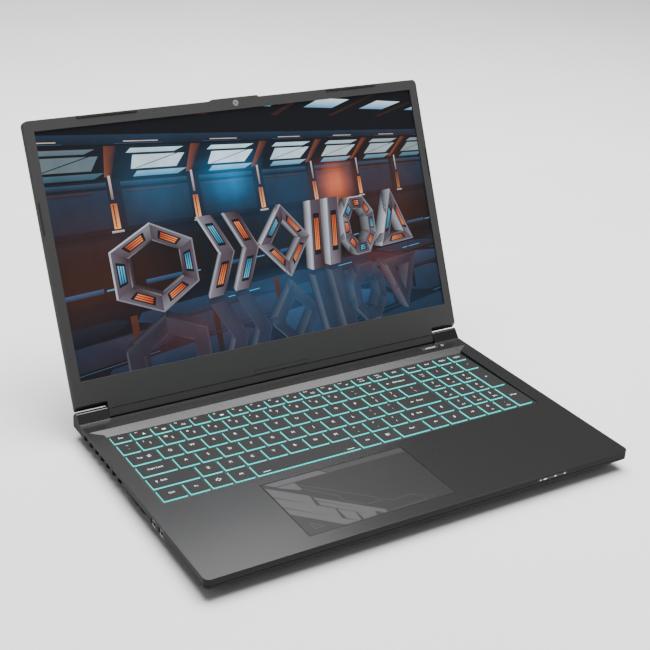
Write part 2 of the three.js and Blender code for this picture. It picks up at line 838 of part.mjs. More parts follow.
// A card flat against the underside of the board.
function moduleUnderBoard({ length, depth, height, centreX }) {
  const top = boardBottom - card.boardGap;
  const front = boardFront + card.frontInset;
  return block(centreX - length / 2, centreX + length / 2, front, front + depth, top - height, top);
}

function batteryPack() {
  const front = -halfDepth + battery.frontInset;
  const bottom = floorTop + gap;
  return block(
    -battery.width / 2, battery.width / 2, front, front + battery.depth, bottom, bottom + battery.height,
  );
}

const fanBottom = floorTop + gap;

function fanHousing(side) {
  const x = side * fan.centreX;
  const half = fan.size / 2;
  const top = fanBottom + fan.height;
  const shell = block(x - half, x + half, fanY - half, fanY + half, fanBottom, top);
  const room = plate(circle(x, fanY, fan.radius, 48), fanBottom + fan.wall, top - fan.wall);
  const inlet = plate(circle(x, fanY, fan.inlet, 48), fanBottom - cut, fanBottom + 2 * fan.wall);
  const outlet = block(
    x - fan.outlet / 2, x + fan.outlet / 2, fanY + fan.radius / 2, fanY + half + cut,
    fanBottom + fan.wall, top - fan.wall,
  );
  const post = plate(circle(x, fanY, fan.post, 24), fanBottom + 2 * fan.wall, top - fan.wall / 2);
  return carve(shell, room, inlet, outlet).add(post);
}

function fanImpeller(side) {
  const x = side * fan.centreX;
  const bottom = fanBottom + fan.wall + gap;
  const top = fanBottom + fan.height - fan.wall - gap;
  const hub = plate(circle(0, 0, fan.hub, 36), bottom, top);
  const blades = Array.from({ length: fan.blades }, (_, i) => {
    const half = fan.bladeThickness / 2;
    const blade = block(fan.hub - cut, fan.bladeReach, -half, half, bottom, top);
    return blade.rotate([0, 0, (360 * i) / fan.blades]);
  });
  const bore = plate(circle(0, 0, fan.post + gap, 24), bottom - cut, top + cut);
  return carve(join(hub, ...blades), bore).translate([x, fanY, 0]);
}

const sinkBottom = fanBottom + pipe.height + gap;

function heatSink(side) {
  const x = side * fan.centreX;
  const rear = halfDepth - sink.rearInset;
  const front = rear - sink.depth;
  const body = block(
    x - sink.width / 2, x + sink.width / 2, front, rear, sinkBottom, sinkBottom + sink.height,
  );
  const pitch = (sink.width - sink.fin) / sink.fins;
  const slots = Array.from({ length: sink.fins }, (_, i) => {
    const start = x - sink.width / 2 + sink.fin + i * pitch;
    return block(
      start, start + pitch - sink.fin, front - cut, rear + cut,
      sinkBottom + sink.plate, sinkBottom + sink.height + cut,
    );
  });
  return carve(body, ...slots);
}

// A flattened pipe that runs under both heat sinks and dips forward under the chips between them.
function heatPipe(order) {
  const y = halfDepth - pipe.rearInset - order * pipe.spacing;
  const dipY = y - pipe.dip;
  const half = pipe.width / 2;
  const right = [[pipe.reach, y], [pipe.shoulder, y], [pipe.elbow, dipY]];
  const left = right.toReversed().map(([x, v]) => [-x, v]);
  const middle = [...right, ...left];
  const upper = middle.map(([x, v]) => [x, v + half]);
  const lower = middle.toReversed().map(([x, v]) => [x, v - half]);
  return plate([...upper, ...lower], fanBottom, fanBottom + pipe.height);
}

// A copper plate between a chip and the heat pipes that pass under it.
function chipPlate(side) {
  const x = side * coldPlate.centreX;
  const rear = halfDepth - pipe.rearInset - pipe.dip + pipe.width / 2;
  return block(
    x - coldPlate.width / 2, x + coldPlate.width / 2, rear - coldPlate.depth, rear,
    fanBottom + pipe.height + gap, boardBottom - gap,
  );
}

function speakerBox(side) {
  const bottom = floorTop + gap;
  const [x0, x1, y0, y1] = speakerPlace(side);
  return plate(
    roundedRectangle(x0, x1, y0, y1, speaker.cornerRadius, 3), bottom, bottom + speaker.height,
  );
}

// A rectangular socket with its mouth at y = 0: a thin metal shell with a tongue standing in it.
function socketShell({ width, height, depth }) {
  const { wall, tongueGap } = socket;
  const body = block(-width / 2, width / 2, 0, depth, -height / 2, height / 2);
  const room = block(
    -width / 2 + wall, width / 2 - wall, -cut, depth - cut, -height / 2 + wall, height / 2 - wall,
  );
  const half = width / 2 - wall - tongueGap;
  const tongue = block(-half, half, cut, depth, -socket.tongue / 2, socket.tongue / 2);
  return carve(body, room).add(tongue);
}

function roundSocket({ size, bore, depth, pin }) {
  const body = block(-size / 2, size / 2, 0, depth, -size / 2, size / 2);
  const hole = plate(circle(0, 0, bore, 24), -cut, depth - 2 * cut).rotate([-90, 0, 0]);
  const socket = carve(body, hole);
  return pin ? socket.add(plate(circle(0, 0, pin, 16), cut, depth - cut).rotate([-90, 0, 0])) : socket;
}

function addPorts() {
  const draw = (kind) => (ports[kind].size ? roundSocket(ports[kind]) : socketShell(ports[kind]));
  for (const { name, kind, side, y } of sidePorts) {
    const { inset, drop } = ports[kind];
    const x = side === "left" ? -halfWidth + inset : halfWidth - inset;
    add(name, facing(side, draw(kind), x, y, -drop), finish.steel);
  }
  for (const { name, kind, x } of rearPorts) {
    const y = halfDepth - base.undercutRear / 2;
    add(name, facing("rear", draw(kind), x, y, -ports.rearDrop), finish.steel);
  }
}

// ---------------------------------------------------------------- the lid, in the hinge frame
// Profiles here are [y, z]: up the screen from the pin, and out of the screen.
function lidOutline(inset) {
  const radius = lid.cornerRadius - inset;
  const x = halfWidth - inset;
  const top = lidTop - inset;
  const humpHalf = lid.humpWidth / 2 - inset;
  const outline = [
    ...arc(x - radius, top - radius, radius, 0, 90, 5),
    [humpHalf + lid.humpRise, top],
    [humpHalf, top + lid.humpRise],
    [-humpHalf, top + lid.humpRise],
    [-humpHalf - lid.humpRise, top],
    ...arc(-x + radius, top - radius, radius, 90, 180, 5),
  ];
  return [...outline, [-x, hinge.coverTop + gap], [x, hinge.coverTop + gap]];
}

// What is cut from the lid's lower corners to clear the base's corner blocks, grown by a wall.
// Its bevel runs parallel to the block's front slope; with the lid shut the two lie a gap apart.
function notchTool(wall) {
  const slope = THREE.MathUtils.degToRad(hinge.blockFrontSlope);
  const reach = blockRadius + hinge.notchGap + wall;
  const edge = notchEdge + wall;
  const bevelStart = (edge * Math.sin(slope) - reach) / Math.cos(slope);
  const face = bezelFace + cut;
  const profile = [
    [-cut, lidBack - cut],
    [edge, lidBack - cut],
    [edge, bevelStart],
    [(reach + face * Math.cos(slope)) / Math.sin(slope), face],
    [-cut, face],
  ];
  const tool = rail(profile, coverEnd - wall, halfWidth + cut);
  return join(tool, tool.mirror([1, 0, 0]));
}

const bezelBack = bezelFace - lid.bezel;
const panelFace = bezelBack - gap;

function lidBackCover() {
  const shellBody = plate(lidOutline(0), lidBack, panelFace);
  const room = plate(lidOutline(lid.wall), lidBack + lid.wall, bezelFace);
  const foldRoom = block(
    -coverEnd + lid.wall, coverEnd - lid.wall, -cut, lid.bottomBorder, lidBack + lid.wall, bezelFace,
  );
  return carve(shellBody, carve(join(room, foldRoom), notchTool(lid.wall)), notchTool(0));
}

const cameraY = picture.top + camera.aboveScreen;

function bumperBlock(side, grow, z0, z1) {
  const x = side * bumper.centreX;
  const top = lidTop - bumper.edge;
  return block(
    x - bumper.length / 2 - grow, x + bumper.length / 2 + grow,
    top - bumper.width - grow, top + grow, z0, z1,
  );
}

function displayBezel() {
  const frame = plate(lidOutline(0), bezelBack, bezelFace);
  const through = [bezelBack - cut, bezelFace + cut];
  const window = block(picture.left, picture.right, picture.bottom, picture.top, ...through);
  const lensHole = plate(circle(0, cameraY, camera.lensRadius + camera.lensGap, 32), ...through);
  const pockets = [-1, 1].map((side) =>
    bumperBlock(side, bumper.gap, bezelFace - bumper.sunk - gap, bezelFace + cut));
  return carve(frame, window, lensHole, ...pockets, notchTool(0));
}

const displayPanel = () => block(
  picture.left - panel.overlap, picture.right + panel.overlap,
  picture.bottom - panel.overlap, picture.top + panel.overlap, panelFace - panel.thickness, panelFace,
);

function webcamModule() {
  const { boardWidth, boardHeight, boardThickness, lensRadius, neckRadius } = camera;
  const boardBack = panelFace - panel.thickness;
  const boardFace = boardBack + boardThickness;
  const seat = bezelBack - gap / 2;
  return join(
    block(
      -boardWidth / 2, boardWidth / 2,
      cameraY - boardHeight / 2, cameraY + boardHeight / 2, boardBack, boardFace,
    ),
    plate(circle(0, cameraY, neckRadius, 24), boardBack, seat + gap),
    plate(circle(0, cameraY, lensRadius, 32), seat, bezelFace - camera.lensSink),
  );
}

// The hinge cover in section, shrunk by a wall; its upper end opens into the lid.
function coverProfile(wall) {
  const top = hinge.coverTop + (wall ? cut : 0);
  const face = bezelFace - hinge.coverStep - wall;
  const back = lidBack + wall;
  const tip = -hinge.coverTip + wall;
  const front = hinge.coverFrontRadius - wall / 2;
  const rear = hinge.coverBackRadius - wall;
  return [
    [top, face],
    ...arc(tip + front, face - front, front, 90, 180, 5),
    ...arc(tip + rear, back + rear, rear, 180, 270, 6),
    [top, back],
  ];
}

function hingeCover() {
  const inside = coverEnd - hinge.coverEndWall;
  return carve(
    rail(coverProfile(0), -coverEnd, coverEnd),
    rail(coverProfile(hinge.coverWall), -inside, inside),
    rodX(0, 0, hinge.leafBarrelRadius + hinge.pinGap, -inside, inside),
    rodX(0, 0, hinge.pinRadius + gap, -coverEnd - cut, coverEnd + cut),
  );
}

function hingeLeaf(side) {
  const outer = coverEnd - hinge.coverEndWall - 2 * gap;
  const inner = outer - hinge.leafWidth;
  const half = hinge.leafThickness / 2;
  const body = join(
    rodX(0, 0, hinge.leafBarrelRadius, inner, outer),
    block(inner, outer, 0, hinge.leafHeight, -half, half),
  );
  const leaf = body.subtract(rodX(0, 0, hinge.pinRadius + hinge.pinGap, inner - cut, outer + cut));
  return side < 0 ? leaf.mirror([1, 0, 0]) : leaf;
}

const displayCable = () => block(
  cable.centreX - cable.width / 2, cable.centreX + cable.width / 2,
  -cable.drop, cable.length - cable.drop, -cable.thickness / 2, cable.thickness / 2,
);

// ---------------------------------------------------------------- the assembly
add("bottom_cover", bottomCover(), finish.cover);
add("top_cover", topCover(), finish.cover);
add("keyboard_frame", keyboardFrame(), finish.dark);
add("keyboard_plate", keyboardPlate(), finish.steel);
addKeys();
add("power_button", powerButtonBody(), finish.dark);
add("touchpad", touchpadBody(), finish.dark);
add("status_light_window", lightWindow(), finish.light);
add("motherboard", motherboard(), finish.board);
add("solid_state_drive", moduleUnderBoard(drive), finish.board);
add("wireless_card", moduleUnderBoard(radio), finish.board);
add("battery_pack", batteryPack(), finish.dark);
add("heat_pipe_rear", heatPipe(0), finish.copper);
add("heat_pipe_front", heatPipe(1), finish.copper);
add("processor_cold_plate", chipPlate(-1), finish.copper);
add("graphics_cold_plate", chipPlate(1), finish.copper);
feetPieces();
addPorts();
for (const [name, side] of [["left", -1], ["right", 1]]) {
  const memoryX = memory.centreX + (side * memory.spacing) / 2;
  add(`memory_module_${name}`, moduleUnderBoard({ ...memory, centreX: memoryX }), finish.board);
  add(`fan_housing_${name}`, fanHousing(side), finish.dark);
  add(`fan_impeller_${name}`, fanImpeller(side), finish.dark);
  add(`heat_sink_${name}`, heatSink(side), finish.copper);
  add(`speaker_${name}`, speakerBox(side), finish.dark);
  add(`hinge_bracket_${name}`, hingeBracket(side), finish.steel);
  add(`hinge_leaf_${name}`, hingeLeaf(side), finish.steel, lidGroup);
  add(
    `bumper_${name}`, bumperBlock(side, 0, bezelFace - bumper.sunk, bezelFace + bumper.rise),
    finish.rubber, lidGroup,
  );
}
add("lid_back_cover", lidBackCover(), finish.cover, lidGroup);
add("display_bezel", displayBezel(), finish.cover, lidGroup);
add("display_panel", displayPanel(), finish.glass, lidGroup);
add("webcam_module", webcamModule(), finish.dark, lidGroup);
add("hinge_cover", hingeCover(), finish.dark, lidGroup);
add("display_cable", displayCable(), finish.dark, lidGroup);

// Centre the outline over the origin, with the feet on Z = 0.
const outline = new THREE.Box3().setFromObject(laptop, true);
laptop.position.set(0, -(outline.min.y + outline.max.y) / 2, -outline.min.z);
const part = new THREE.Group();
part.add(laptop);

export default part;
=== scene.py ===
import json
import math

import bmesh
import bpy
from mathutils import Matrix, Vector


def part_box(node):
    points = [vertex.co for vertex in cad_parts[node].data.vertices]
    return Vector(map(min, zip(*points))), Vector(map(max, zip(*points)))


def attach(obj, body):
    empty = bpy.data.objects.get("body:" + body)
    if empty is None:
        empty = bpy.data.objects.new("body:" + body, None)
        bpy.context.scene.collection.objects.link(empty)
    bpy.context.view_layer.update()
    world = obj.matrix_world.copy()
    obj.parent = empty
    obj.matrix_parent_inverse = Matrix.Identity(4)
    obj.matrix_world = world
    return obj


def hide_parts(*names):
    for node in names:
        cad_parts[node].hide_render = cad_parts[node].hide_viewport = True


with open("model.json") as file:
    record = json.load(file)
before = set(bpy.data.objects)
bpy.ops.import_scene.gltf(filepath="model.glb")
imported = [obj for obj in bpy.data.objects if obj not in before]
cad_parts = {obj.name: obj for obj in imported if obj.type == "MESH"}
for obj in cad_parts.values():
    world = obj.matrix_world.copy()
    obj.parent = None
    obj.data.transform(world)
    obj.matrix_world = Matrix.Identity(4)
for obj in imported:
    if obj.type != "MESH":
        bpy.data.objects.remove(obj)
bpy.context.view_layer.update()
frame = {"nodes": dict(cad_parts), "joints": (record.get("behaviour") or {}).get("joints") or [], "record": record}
nodes = frame["nodes"]
MM = 0.001
OPEN_ANGLE = math.radians(113.9)


# -------- places taken from the CAD frame
def boxed(node, place):
    """Lowest and highest corner of a CAD node in a local frame, in millimetres."""
    inverse = place.inverted()
    points = [inverse @ vertex.co / MM for vertex in nodes[node].data.vertices]
    low = Vector(min(point[i] for point in points) for i in range(3))
    high = Vector(max(point[i] for point in points) for i in range(3))
    return low, high


base_low, base_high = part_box("bottom_cover")
TOUCHPAD_SINK = 0.15
deck_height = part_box("touchpad")[1].z + TOUCHPAD_SINK * MM
DECK = Matrix.Translation((0, (base_low.y + base_high.y) / 2, deck_height))
HALF_WIDTH = (base_high.x - base_low.x) / 2 / MM
HALF_DEPTH = (base_high.y - base_low.y) / 2 / MM

hinge = next(joint for joint in frame["joints"] if joint["name"] == "lid_hinge")
LID = Matrix.Translation(hinge["pos_m"]) @ Matrix.Rotation(math.pi - OPEN_ANGLE, 4, "X")


def floor_frame(node):
    """A frame on a tilted plate: Z off its widest upward face, origin on its front edge."""
    mesh = nodes[node].data
    face = max(mesh.polygons, key=lambda polygon: polygon.area * (polygon.normal.z > 0.9))
    up = face.normal.copy()
    ahead = up.cross(Vector((1, 0, 0))).normalized()
    turn = Matrix((Vector((1, 0, 0)), ahead, up)).transposed().to_4x4()
    height = up.dot(mesh.vertices[face.vertices[0]].co)
    front = min(ahead.dot(vertex.co) for vertex in mesh.vertices)
    return Matrix.Translation(ahead * front + up * height) @ turn


WELL = floor_frame("keyboard_frame")


# -------- materials
class Surface:
    """A material whose one Principled shader is fed by procedural layers."""

    def __init__(self, name, **values):
        self.material = bpy.data.materials.new(name)
        self.material.use_nodes = True
        self.tree = self.material.node_tree
        self.shader = self.tree.nodes["Principled BSDF"]
        self.set(**values)

    def set(self, **values):
        for name, value in values.items():
            socket = self.shader.inputs[name.replace("_", " ").title().replace("Ior", "IOR")]
            if isinstance(value, bpy.types.NodeSocket):
                self.tree.links.new(value, socket)
            else:
                socket.default_value = value
        return self

    def add(self, kind, settings=None, **inputs):
        made = self.tree.nodes.new("ShaderNode" + kind)
        for name, value in (settings or {}).items():
            setattr(made, name, value)
        for name, value in inputs.items():
            socket = made.inputs[int(name[1:])] if name[0] == "i" else made.inputs[name]
            if isinstance(value, bpy.types.NodeSocket):
                self.tree.links.new(value, socket)
            else:
                socket.default_value = value
        return made.outputs

    def place(self):
        return self.add("TexCoord")["Object"]

    def noise(self, scale, detail=3.0, stretch=(1, 1, 1)):
        spread = self.add("Mapping", None, Vector=self.place(), Scale=stretch)["Vector"]
        return self.add("TexNoise", None, Vector=spread, Scale=scale, Detail=detail)["Fac"]

    def ramp(self, value, low, high, start=0.35, end=0.65):
        limits = {"From Min": start, "From Max": end, "To Min": low, "To Max": high}
        return self.add("MapRange", None, Value=value, **limits)["Result"]

    def mix(self, value, low, high):
        outputs = self.add("Mix", {"data_type": "RGBA"}, i0=value, i6=low, i7=high)
        return outputs[2]

    def bump(self, value, strength, depth):
        return self.add("Bump", None, Height=value, Strength=strength, Distance=depth * MM)["Normal"]

    def glow(self, colour, strength):
        """Light that is seen, and falls on other things, but isn't sampled as a lamp."""
        self.material.cycles.emission_sampling = "NONE"
        return self.set(emission_color=colour, emission_strength=strength).material


def shade(colour, factor):
    return tuple(channel * factor for channel in colour[:3]) + (1.0,)


def grained(name, colour, roughness, metallic=0.0, grain=2600.0, relief=0.02, stretch=(1, 1, 1), **values):
    """Paint or moulded plastic: a fine grain in colour, gloss and relief, and faint clouds in colour."""
    surface = Surface(name, metallic=metallic, **values)
    fine = surface.noise(grain, 4.0, stretch)
    cloud = surface.noise(38.0, 3.0)
    tone = surface.mix(surface.ramp(fine, 0.25, 0.75), shade(colour, 0.88), shade(colour, 1.12))
    mottled = surface.mix(surface.ramp(cloud, 0.0, 0.16), tone, shade(colour, 0.8))
    gloss = surface.ramp(fine, roughness - 0.04, roughness + 0.04)
    return surface.set(
        base_color=mottled, roughness=gloss, normal=surface.bump(fine, 0.35, relief)
    ).material


def glowing(name, colour, strength, roughness=0.4):
    surface = Surface(name, roughness=roughness, base_color=shade(colour, 0.6))
    drift = surface.noise(60.0, 2.0)
    light = surface.mix(surface.ramp(drift, 0.0, 1.0), shade(colour, 0.92), shade(colour, 1.08))
    return surface.glow(light, strength)


def brushed_metal(name, colour, roughness, along):
    surface = Surface(name, metallic=1.0, anisotropic=0.4)
    hair = surface.noise(900.0, 5.0, along)
    tone = surface.mix(surface.ramp(hair, 0.0, 1.0), shade(colour, 0.82), shade(colour, 1.1))
    gloss = surface.ramp(hair, roughness - 0.06, roughness + 0.1)
    return surface.set(
        base_color=tone, roughness=gloss, normal=surface.bump(hair, 0.3, 0.01)
    ).material


def circuit_board():
    surface = Surface("circuit_board", specular_ior_level=0.5, coat_weight=0.3, coat_roughness=0.2)
    mesh = surface.add(
        "TexBrick", {"offset": 0.37, "squash": 0.8}, Vector=surface.place(), Scale=260.0,
        Color1=(0.006, 0.045, 0.03, 1), Color2=(0.01, 0.065, 0.04, 1), Mortar=(0.02, 0.12, 0.07, 1),
    )
    vias = surface.add("TexVoronoi", {"feature": "F1"}, Vector=surface.place(), Scale=420.0)["Distance"]
    dots = surface.ramp(vias, 1.0, 0.0, 0.12, 0.16)
    tone = surface.mix(dots, mesh["Color"], (0.45, 0.38, 0.2, 1))
    return surface.set(
        base_color=tone, roughness=0.45, normal=surface.bump(mesh["Fac"], 0.4, 0.03)
    ).material


def skirt_glow():
    """The cap's translucent side wall, lit from below: deep cyan on top, brightest low down."""
    surface = Surface("key_glow", roughness=0.5, base_color=(0.05, 0.3, 0.28, 1))
    level = surface.add("SeparateXYZ", None, Vector=surface.place())["Z"]
    rise = surface.ramp(level, 1.0, 0.0, -0.2 * MM, 0.95 * MM)
    patch = surface.ramp(surface.noise(180.0, 2.0), -0.12, 0.12)
    share = surface.add("Math", {"operation": "ADD"}, i0=rise, i1=patch)[0]
    colour = surface.mix(share, (0.006, 0.50, 0.47, 1), (0.11, 0.98, 0.92, 1))
    return surface.glow(colour, 1.5)


def screen_light():
    surface = Surface(
        "screen_picture", base_color=(0.004, 0.004, 0.005, 1), roughness=0.28, specular_ior_level=0.4
    )
    tint = surface.add("Attribute", {"attribute_name": "tint"})["Color"]
    grime = surface.ramp(surface.noise(55.0, 5.0, (1.2, 0.8, 1)), 0.86, 1.08, 0.3, 0.7)
    grimy = surface.add("Mix", {"data_type": "RGBA", "blend_type": "MULTIPLY"}, i0=1.0, i6=tint, i7=grime)[2]
    return surface.glow(grimy, 1.0)


def floor_paint():
    surface = Surface("studio_floor", roughness=0.85, specular_ior_level=0.1)
    cloud = surface.ramp(surface.noise(3.0, 2.0), 0.0, 1.0)
    return surface.set(base_color=surface.mix(cloud, (0.87, 0.87, 0.87, 1), (0.9, 0.9, 0.9, 1))).material


# Grained finishes: colour, roughness, metallic, grain, relief and, if drawn out, the grain's stretch.
GRAINED = {
    "deck_metal": ((0.009, 0.009, 0.0093), 0.26, 0.0, 3200.0, 0.0008),
    "lid_metal": ((0.013, 0.013, 0.0135), 0.42, 0.0, 900.0, 0.008, (0.06, 1, 1)),
    "base_plastic": ((0.010, 0.010, 0.0105), 0.55, 0.0, 1500.0, 0.01),
    "rim_plastic": ((0.016, 0.016, 0.0164), 0.6, 0.0, 1500.0, 0.006),
    "bezel_plastic": ((0.036, 0.0355, 0.0355), 0.5, 0.0, 1900.0, 0.02),
    "hinge_plastic": ((0.038, 0.0375, 0.0375), 0.42, 0.0, 1900.0, 0.006),
    "key_frame": ((0.012, 0.012, 0.013), 0.36, 0.0, 2400.0, 0.01),
    "key_cap": ((0.009, 0.0085, 0.0088), 0.5, 0.0, 3000.0, 0.02),
    "touch_surface": ((0.008, 0.008, 0.0083), 0.38, 0.0, 3600.0, 0.004),
    "touch_print": ((0.05, 0.05, 0.052), 0.4, 0.0, 3600.0, 0.004),
    "rubber": ((0.012, 0.012, 0.012), 0.85, 0.0, 1400.0, 0.04),
    # Painted shade: this dark finish fills flat marks that stand for the shade inside holes, grooves and recesses.
    "seam_and_hollow_shade": ((0.006, 0.006, 0.006), 0.8, 0.0, 1400.0, 0.02),
    "button_plastic": ((0.035, 0.035, 0.036), 0.4, 0.3, 3000.0, 0.01),
    "battery_skin": ((0.018, 0.018, 0.02), 0.35, 0.0, 500.0, 0.05),
    "fan_plastic": ((0.02, 0.02, 0.021), 0.5, 0.0, 1800.0, 0.02),
    "chip": ((0.014, 0.014, 0.015), 0.4, 0.0, 2400.0, 0.01),
    "panel_back": ((0.3, 0.3, 0.31), 0.4, 0.6, 1200.0, 0.01),
    "lens_ring": ((0.22, 0.22, 0.225), 0.4, 0.1, 3600.0, 0.005),
}
# How strongly the duller of them mirror; the others keep the shader's own level.
MIRROR_LEVEL = {
    "lid_metal": 0.3, "base_plastic": 0.3, "rim_plastic": 0.12,
    "key_cap": 0.3, "touch_surface": 0.35, "touch_print": 0.35,
}
# Brushed metals: colour, roughness and the stretch of the brush marks.
BRUSHED = {
    "steel": ((0.42, 0.43, 0.45), 0.32, (0.08, 1, 1)),
    "dark_steel": ((0.09, 0.09, 0.095), 0.35, (1, 0.1, 1)),
    "copper": ((0.72, 0.33, 0.17), 0.3, (0.08, 1, 1)),
    "gold": ((0.75, 0.52, 0.2), 0.28, (0.2, 1, 1)),
    "socket_metal": ((0.13, 0.13, 0.14), 0.3, (1, 0.1, 1)),
}
finish = {}
for name, values in GRAINED.items():
    level = {"specular_ior_level": MIRROR_LEVEL[name]} if name in MIRROR_LEVEL else {}
    finish[name] = grained(name, *values, **level)
for name, values in BRUSHED.items():
    finish[name] = brushed_metal(name, *values)
finish |= {
    "circuit_board": circuit_board(),
    "key_glow": skirt_glow(),
    "screen": screen_light(),
    "legend": glowing("legend", (0.82, 0.93, 0.94), 1.15),
    "light_window": glowing("light_window", (0.03, 0.03, 0.03), 0.05, 0.5),
    "indicator": glowing("indicator", (0.8, 0.84, 0.88), 0.8),
    "lens": Surface(
        "lens", base_color=(0.01, 0.01, 0.016, 1), roughness=0.08, coat_weight=1.0, coat_roughness=0.03
    ).material,
}


# -------- making pieces
SMOOTH = 40  # degrees: on a rounded piece, edges flatter than this are shaded smooth


def linked(name, data, place=Matrix()):
    """A new object in the scene."""
    made = bpy.data.objects.new(name, data)
    bpy.context.scene.collection.objects.link(made)
    made.matrix_world = place
    return made


def crisp(made, angle):
    """Rounded edges are shaded smooth, and the flat faces between them stay flat."""
    made.data.shade_smooth()
    made.data.set_sharp_from_angle(angle=math.radians(angle))
    weights = made.modifiers.new("flat_faces", "WEIGHTED_NORMAL")
    weights.keep_sharp = True


def piece(name, points, faces, place, body, surface, smooth=25.0, colours=None):
    """A visible piece, from points in millimetres, that rides on a body."""
    mesh = bpy.data.meshes.new(name)
    mesh.from_pydata([Vector(point) * MM for point in points], [], faces)
    mesh.update()
    if colours:
        tint = mesh.color_attributes.new("tint", "FLOAT_COLOR", "POINT")
        for i, colour in enumerate(colours):
            tint.data[i].color = (*colour, 1.0)
    mesh.materials.append(finish[surface])
    made = linked(name, mesh, place)
    crisp(made, smooth)
    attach(made, body)
    return made


class Sketch:
    """Points and faces that several shapes are gathered into."""

    def __init__(self):
        self.points = []
        self.faces = []

    def face(self, corners):
        start = len(self.points)
        self.points += [tuple(corner) for corner in corners]
        self.faces.append(tuple(range(start, len(self.points))))
        return self

    def loft(self, rings):
        """A skin over rings of equally many points, closed at both ends."""
        start, count = len(self.points), len(rings[0])
        for ring in rings:
            self.points += [tuple(point) for point in ring]
        for level in range(len(rings) - 1):
            for i in range(count):
                a = start + level * count + i
                b = start + level * count + (i + 1) % count
                self.faces.append((a, b, b + count, a + count))
        last = start + (len(rings) - 1) * count
        self.faces.append(tuple(reversed(range(start, start + count))))
        self.faces.append(tuple(range(last, last + count)))
        return self

    def make(self, name, place, body, surface, slot, smooth=25.0):
        return piece(name, self.points, self.faces, place, body, surface, smooth)


def arc(x, y, radius, start, end, steps):
    angles = [math.radians(start + (end - start) * i / steps) for i in range(steps + 1)]
    return [(x + radius * math.cos(angle), y + radius * math.sin(angle)) for angle in angles]


def rounded(x0, x1, y0, y1, radius, steps=4):
    """The outline of a rounded rectangle, as a function of how far it is drawn in."""
    def outline(inset):
        r = max(radius - inset, 0.02)
        left, right, front, rear = x0 + inset, x1 - inset, y0 + inset, y1 - inset
        return [
            *arc(right - r, rear - r, r, 0, 90, steps),
            *arc(left + r, rear - r, r, 90, 180, steps),
            *arc(left + r, front + r, r, 180, 270, steps),
            *arc(right - r, front + r, r, 270, 360, steps),
        ]
    return outline


def disc(x, y, radius, steps=32):
    return lambda inset: arc(x, y, radius - inset, 0, 360 - 360 / steps, steps - 1)


def slab(sketch, outline, z0, z1, edge, low_edge=None, steps=3):
    """A plate with rounded upper edges and, if asked, rounded lower ones."""
    low = edge if low_edge is None else low_edge
    turns = [math.pi / 2 * i / steps for i in range(steps + 1)]
    levels = []
    if low:
        levels += [(low * (1 - math.sin(t)), z0 + low * (1 - math.cos(t))) for t in turns]
    else:
        levels += [(0, z0)]
    levels += [(edge * (1 - math.cos(t)), z1 - edge * (1 - math.sin(t))) for t in turns]
    return sketch.loft([[(x, y, z) for x, y in outline(inset)] for inset, z in levels])


def flat(sketch, outline, z):
    return sketch.face([(x, y, z) for x, y in outline])


MERGE_WITHIN = 0.06
FLAT_WITHIN = math.radians(0.5)
UP = Vector((0, 0, 1))
LID_OUT = LID.to_3x3() @ UP
RIM_TILT = 0.35  # a face is rim when less than this share of its normal points out of the broad side


def softened(node, body, surface, width, facing=UP, rim="rim_plastic", least=0.6, angle=13.0):
    """A CAD node's shape with its edges rounded off and its rim matt, which stands for the node."""
    mesh = nodes[node].data.copy()
    bm = bmesh.new()
    bm.from_mesh(mesh)
    bmesh.ops.remove_doubles(bm, verts=bm.verts, dist=MERGE_WITHIN * MM)
    bmesh.ops.dissolve_limit(bm, angle_limit=FLAT_WITHIN, verts=bm.verts, edges=bm.edges)
    sharp = [
        edge for edge in bm.edges
        if len(edge.link_faces) == 2 and edge.calc_face_angle() > math.radians(angle)
        and edge.calc_length() > least * MM
    ]
    bmesh.ops.bevel(
        bm, geom=sharp, offset=width * MM, segments=2, profile=0.5, affect="EDGES", clamp_overlap=False
    )
    bm.to_mesh(mesh)
    bm.free()
    mesh.materials.clear()
    mesh.materials.append(finish[surface])
    mesh.materials.append(finish[rim])
    for polygon in mesh.polygons:
        polygon.material_index = int(abs(polygon.normal.dot(facing)) < RIM_TILT)
    made = linked(node + "_soft", mesh)
    crisp(made, 50.0)
    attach(made, body)
    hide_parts(node)
    return made


def paint(surface, *names):
    """The CAD node stays, and gets a procedural finish."""
    for name in names:
        materials = nodes[name].data.materials
        if materials:
            materials[0] = finish[surface]
        else:
            materials.append(finish[surface])


# -------- camera, lights, floor
CAMERA_PLACE = Vector((-0.4641, -0.74712, 0.49987))
CAMERA_TARGET = Vector((-0.00901, -0.01561, 0.09951))
CAMERA_LENS = 69.36
CAMERA_ROLL = math.radians(2.688)
WORLD_LIGHT = 0.24


def looking(place, target):
    """The place of a camera or a light that faces a target."""
    turn = (Vector(target) - Vector(place)).to_track_quat("-Z", "Y").to_matrix().to_4x4()
    return Matrix.Translation(place) @ turn


def make_camera():
    data = bpy.data.cameras.new("view")
    data.lens = CAMERA_LENS
    data.sensor_width = 36.0
    roll = Matrix.Rotation(CAMERA_ROLL, 4, "Z")
    bpy.context.scene.camera = linked("view", data, looking(CAMERA_PLACE, CAMERA_TARGET) @ roll)


def area_light(name, place, target, size, power):
    data = bpy.data.lights.new(name, "AREA")
    data.shape = "RECTANGLE"
    data.size, data.size_y = size
    data.energy = power
    linked(name, data, looking(place, target))


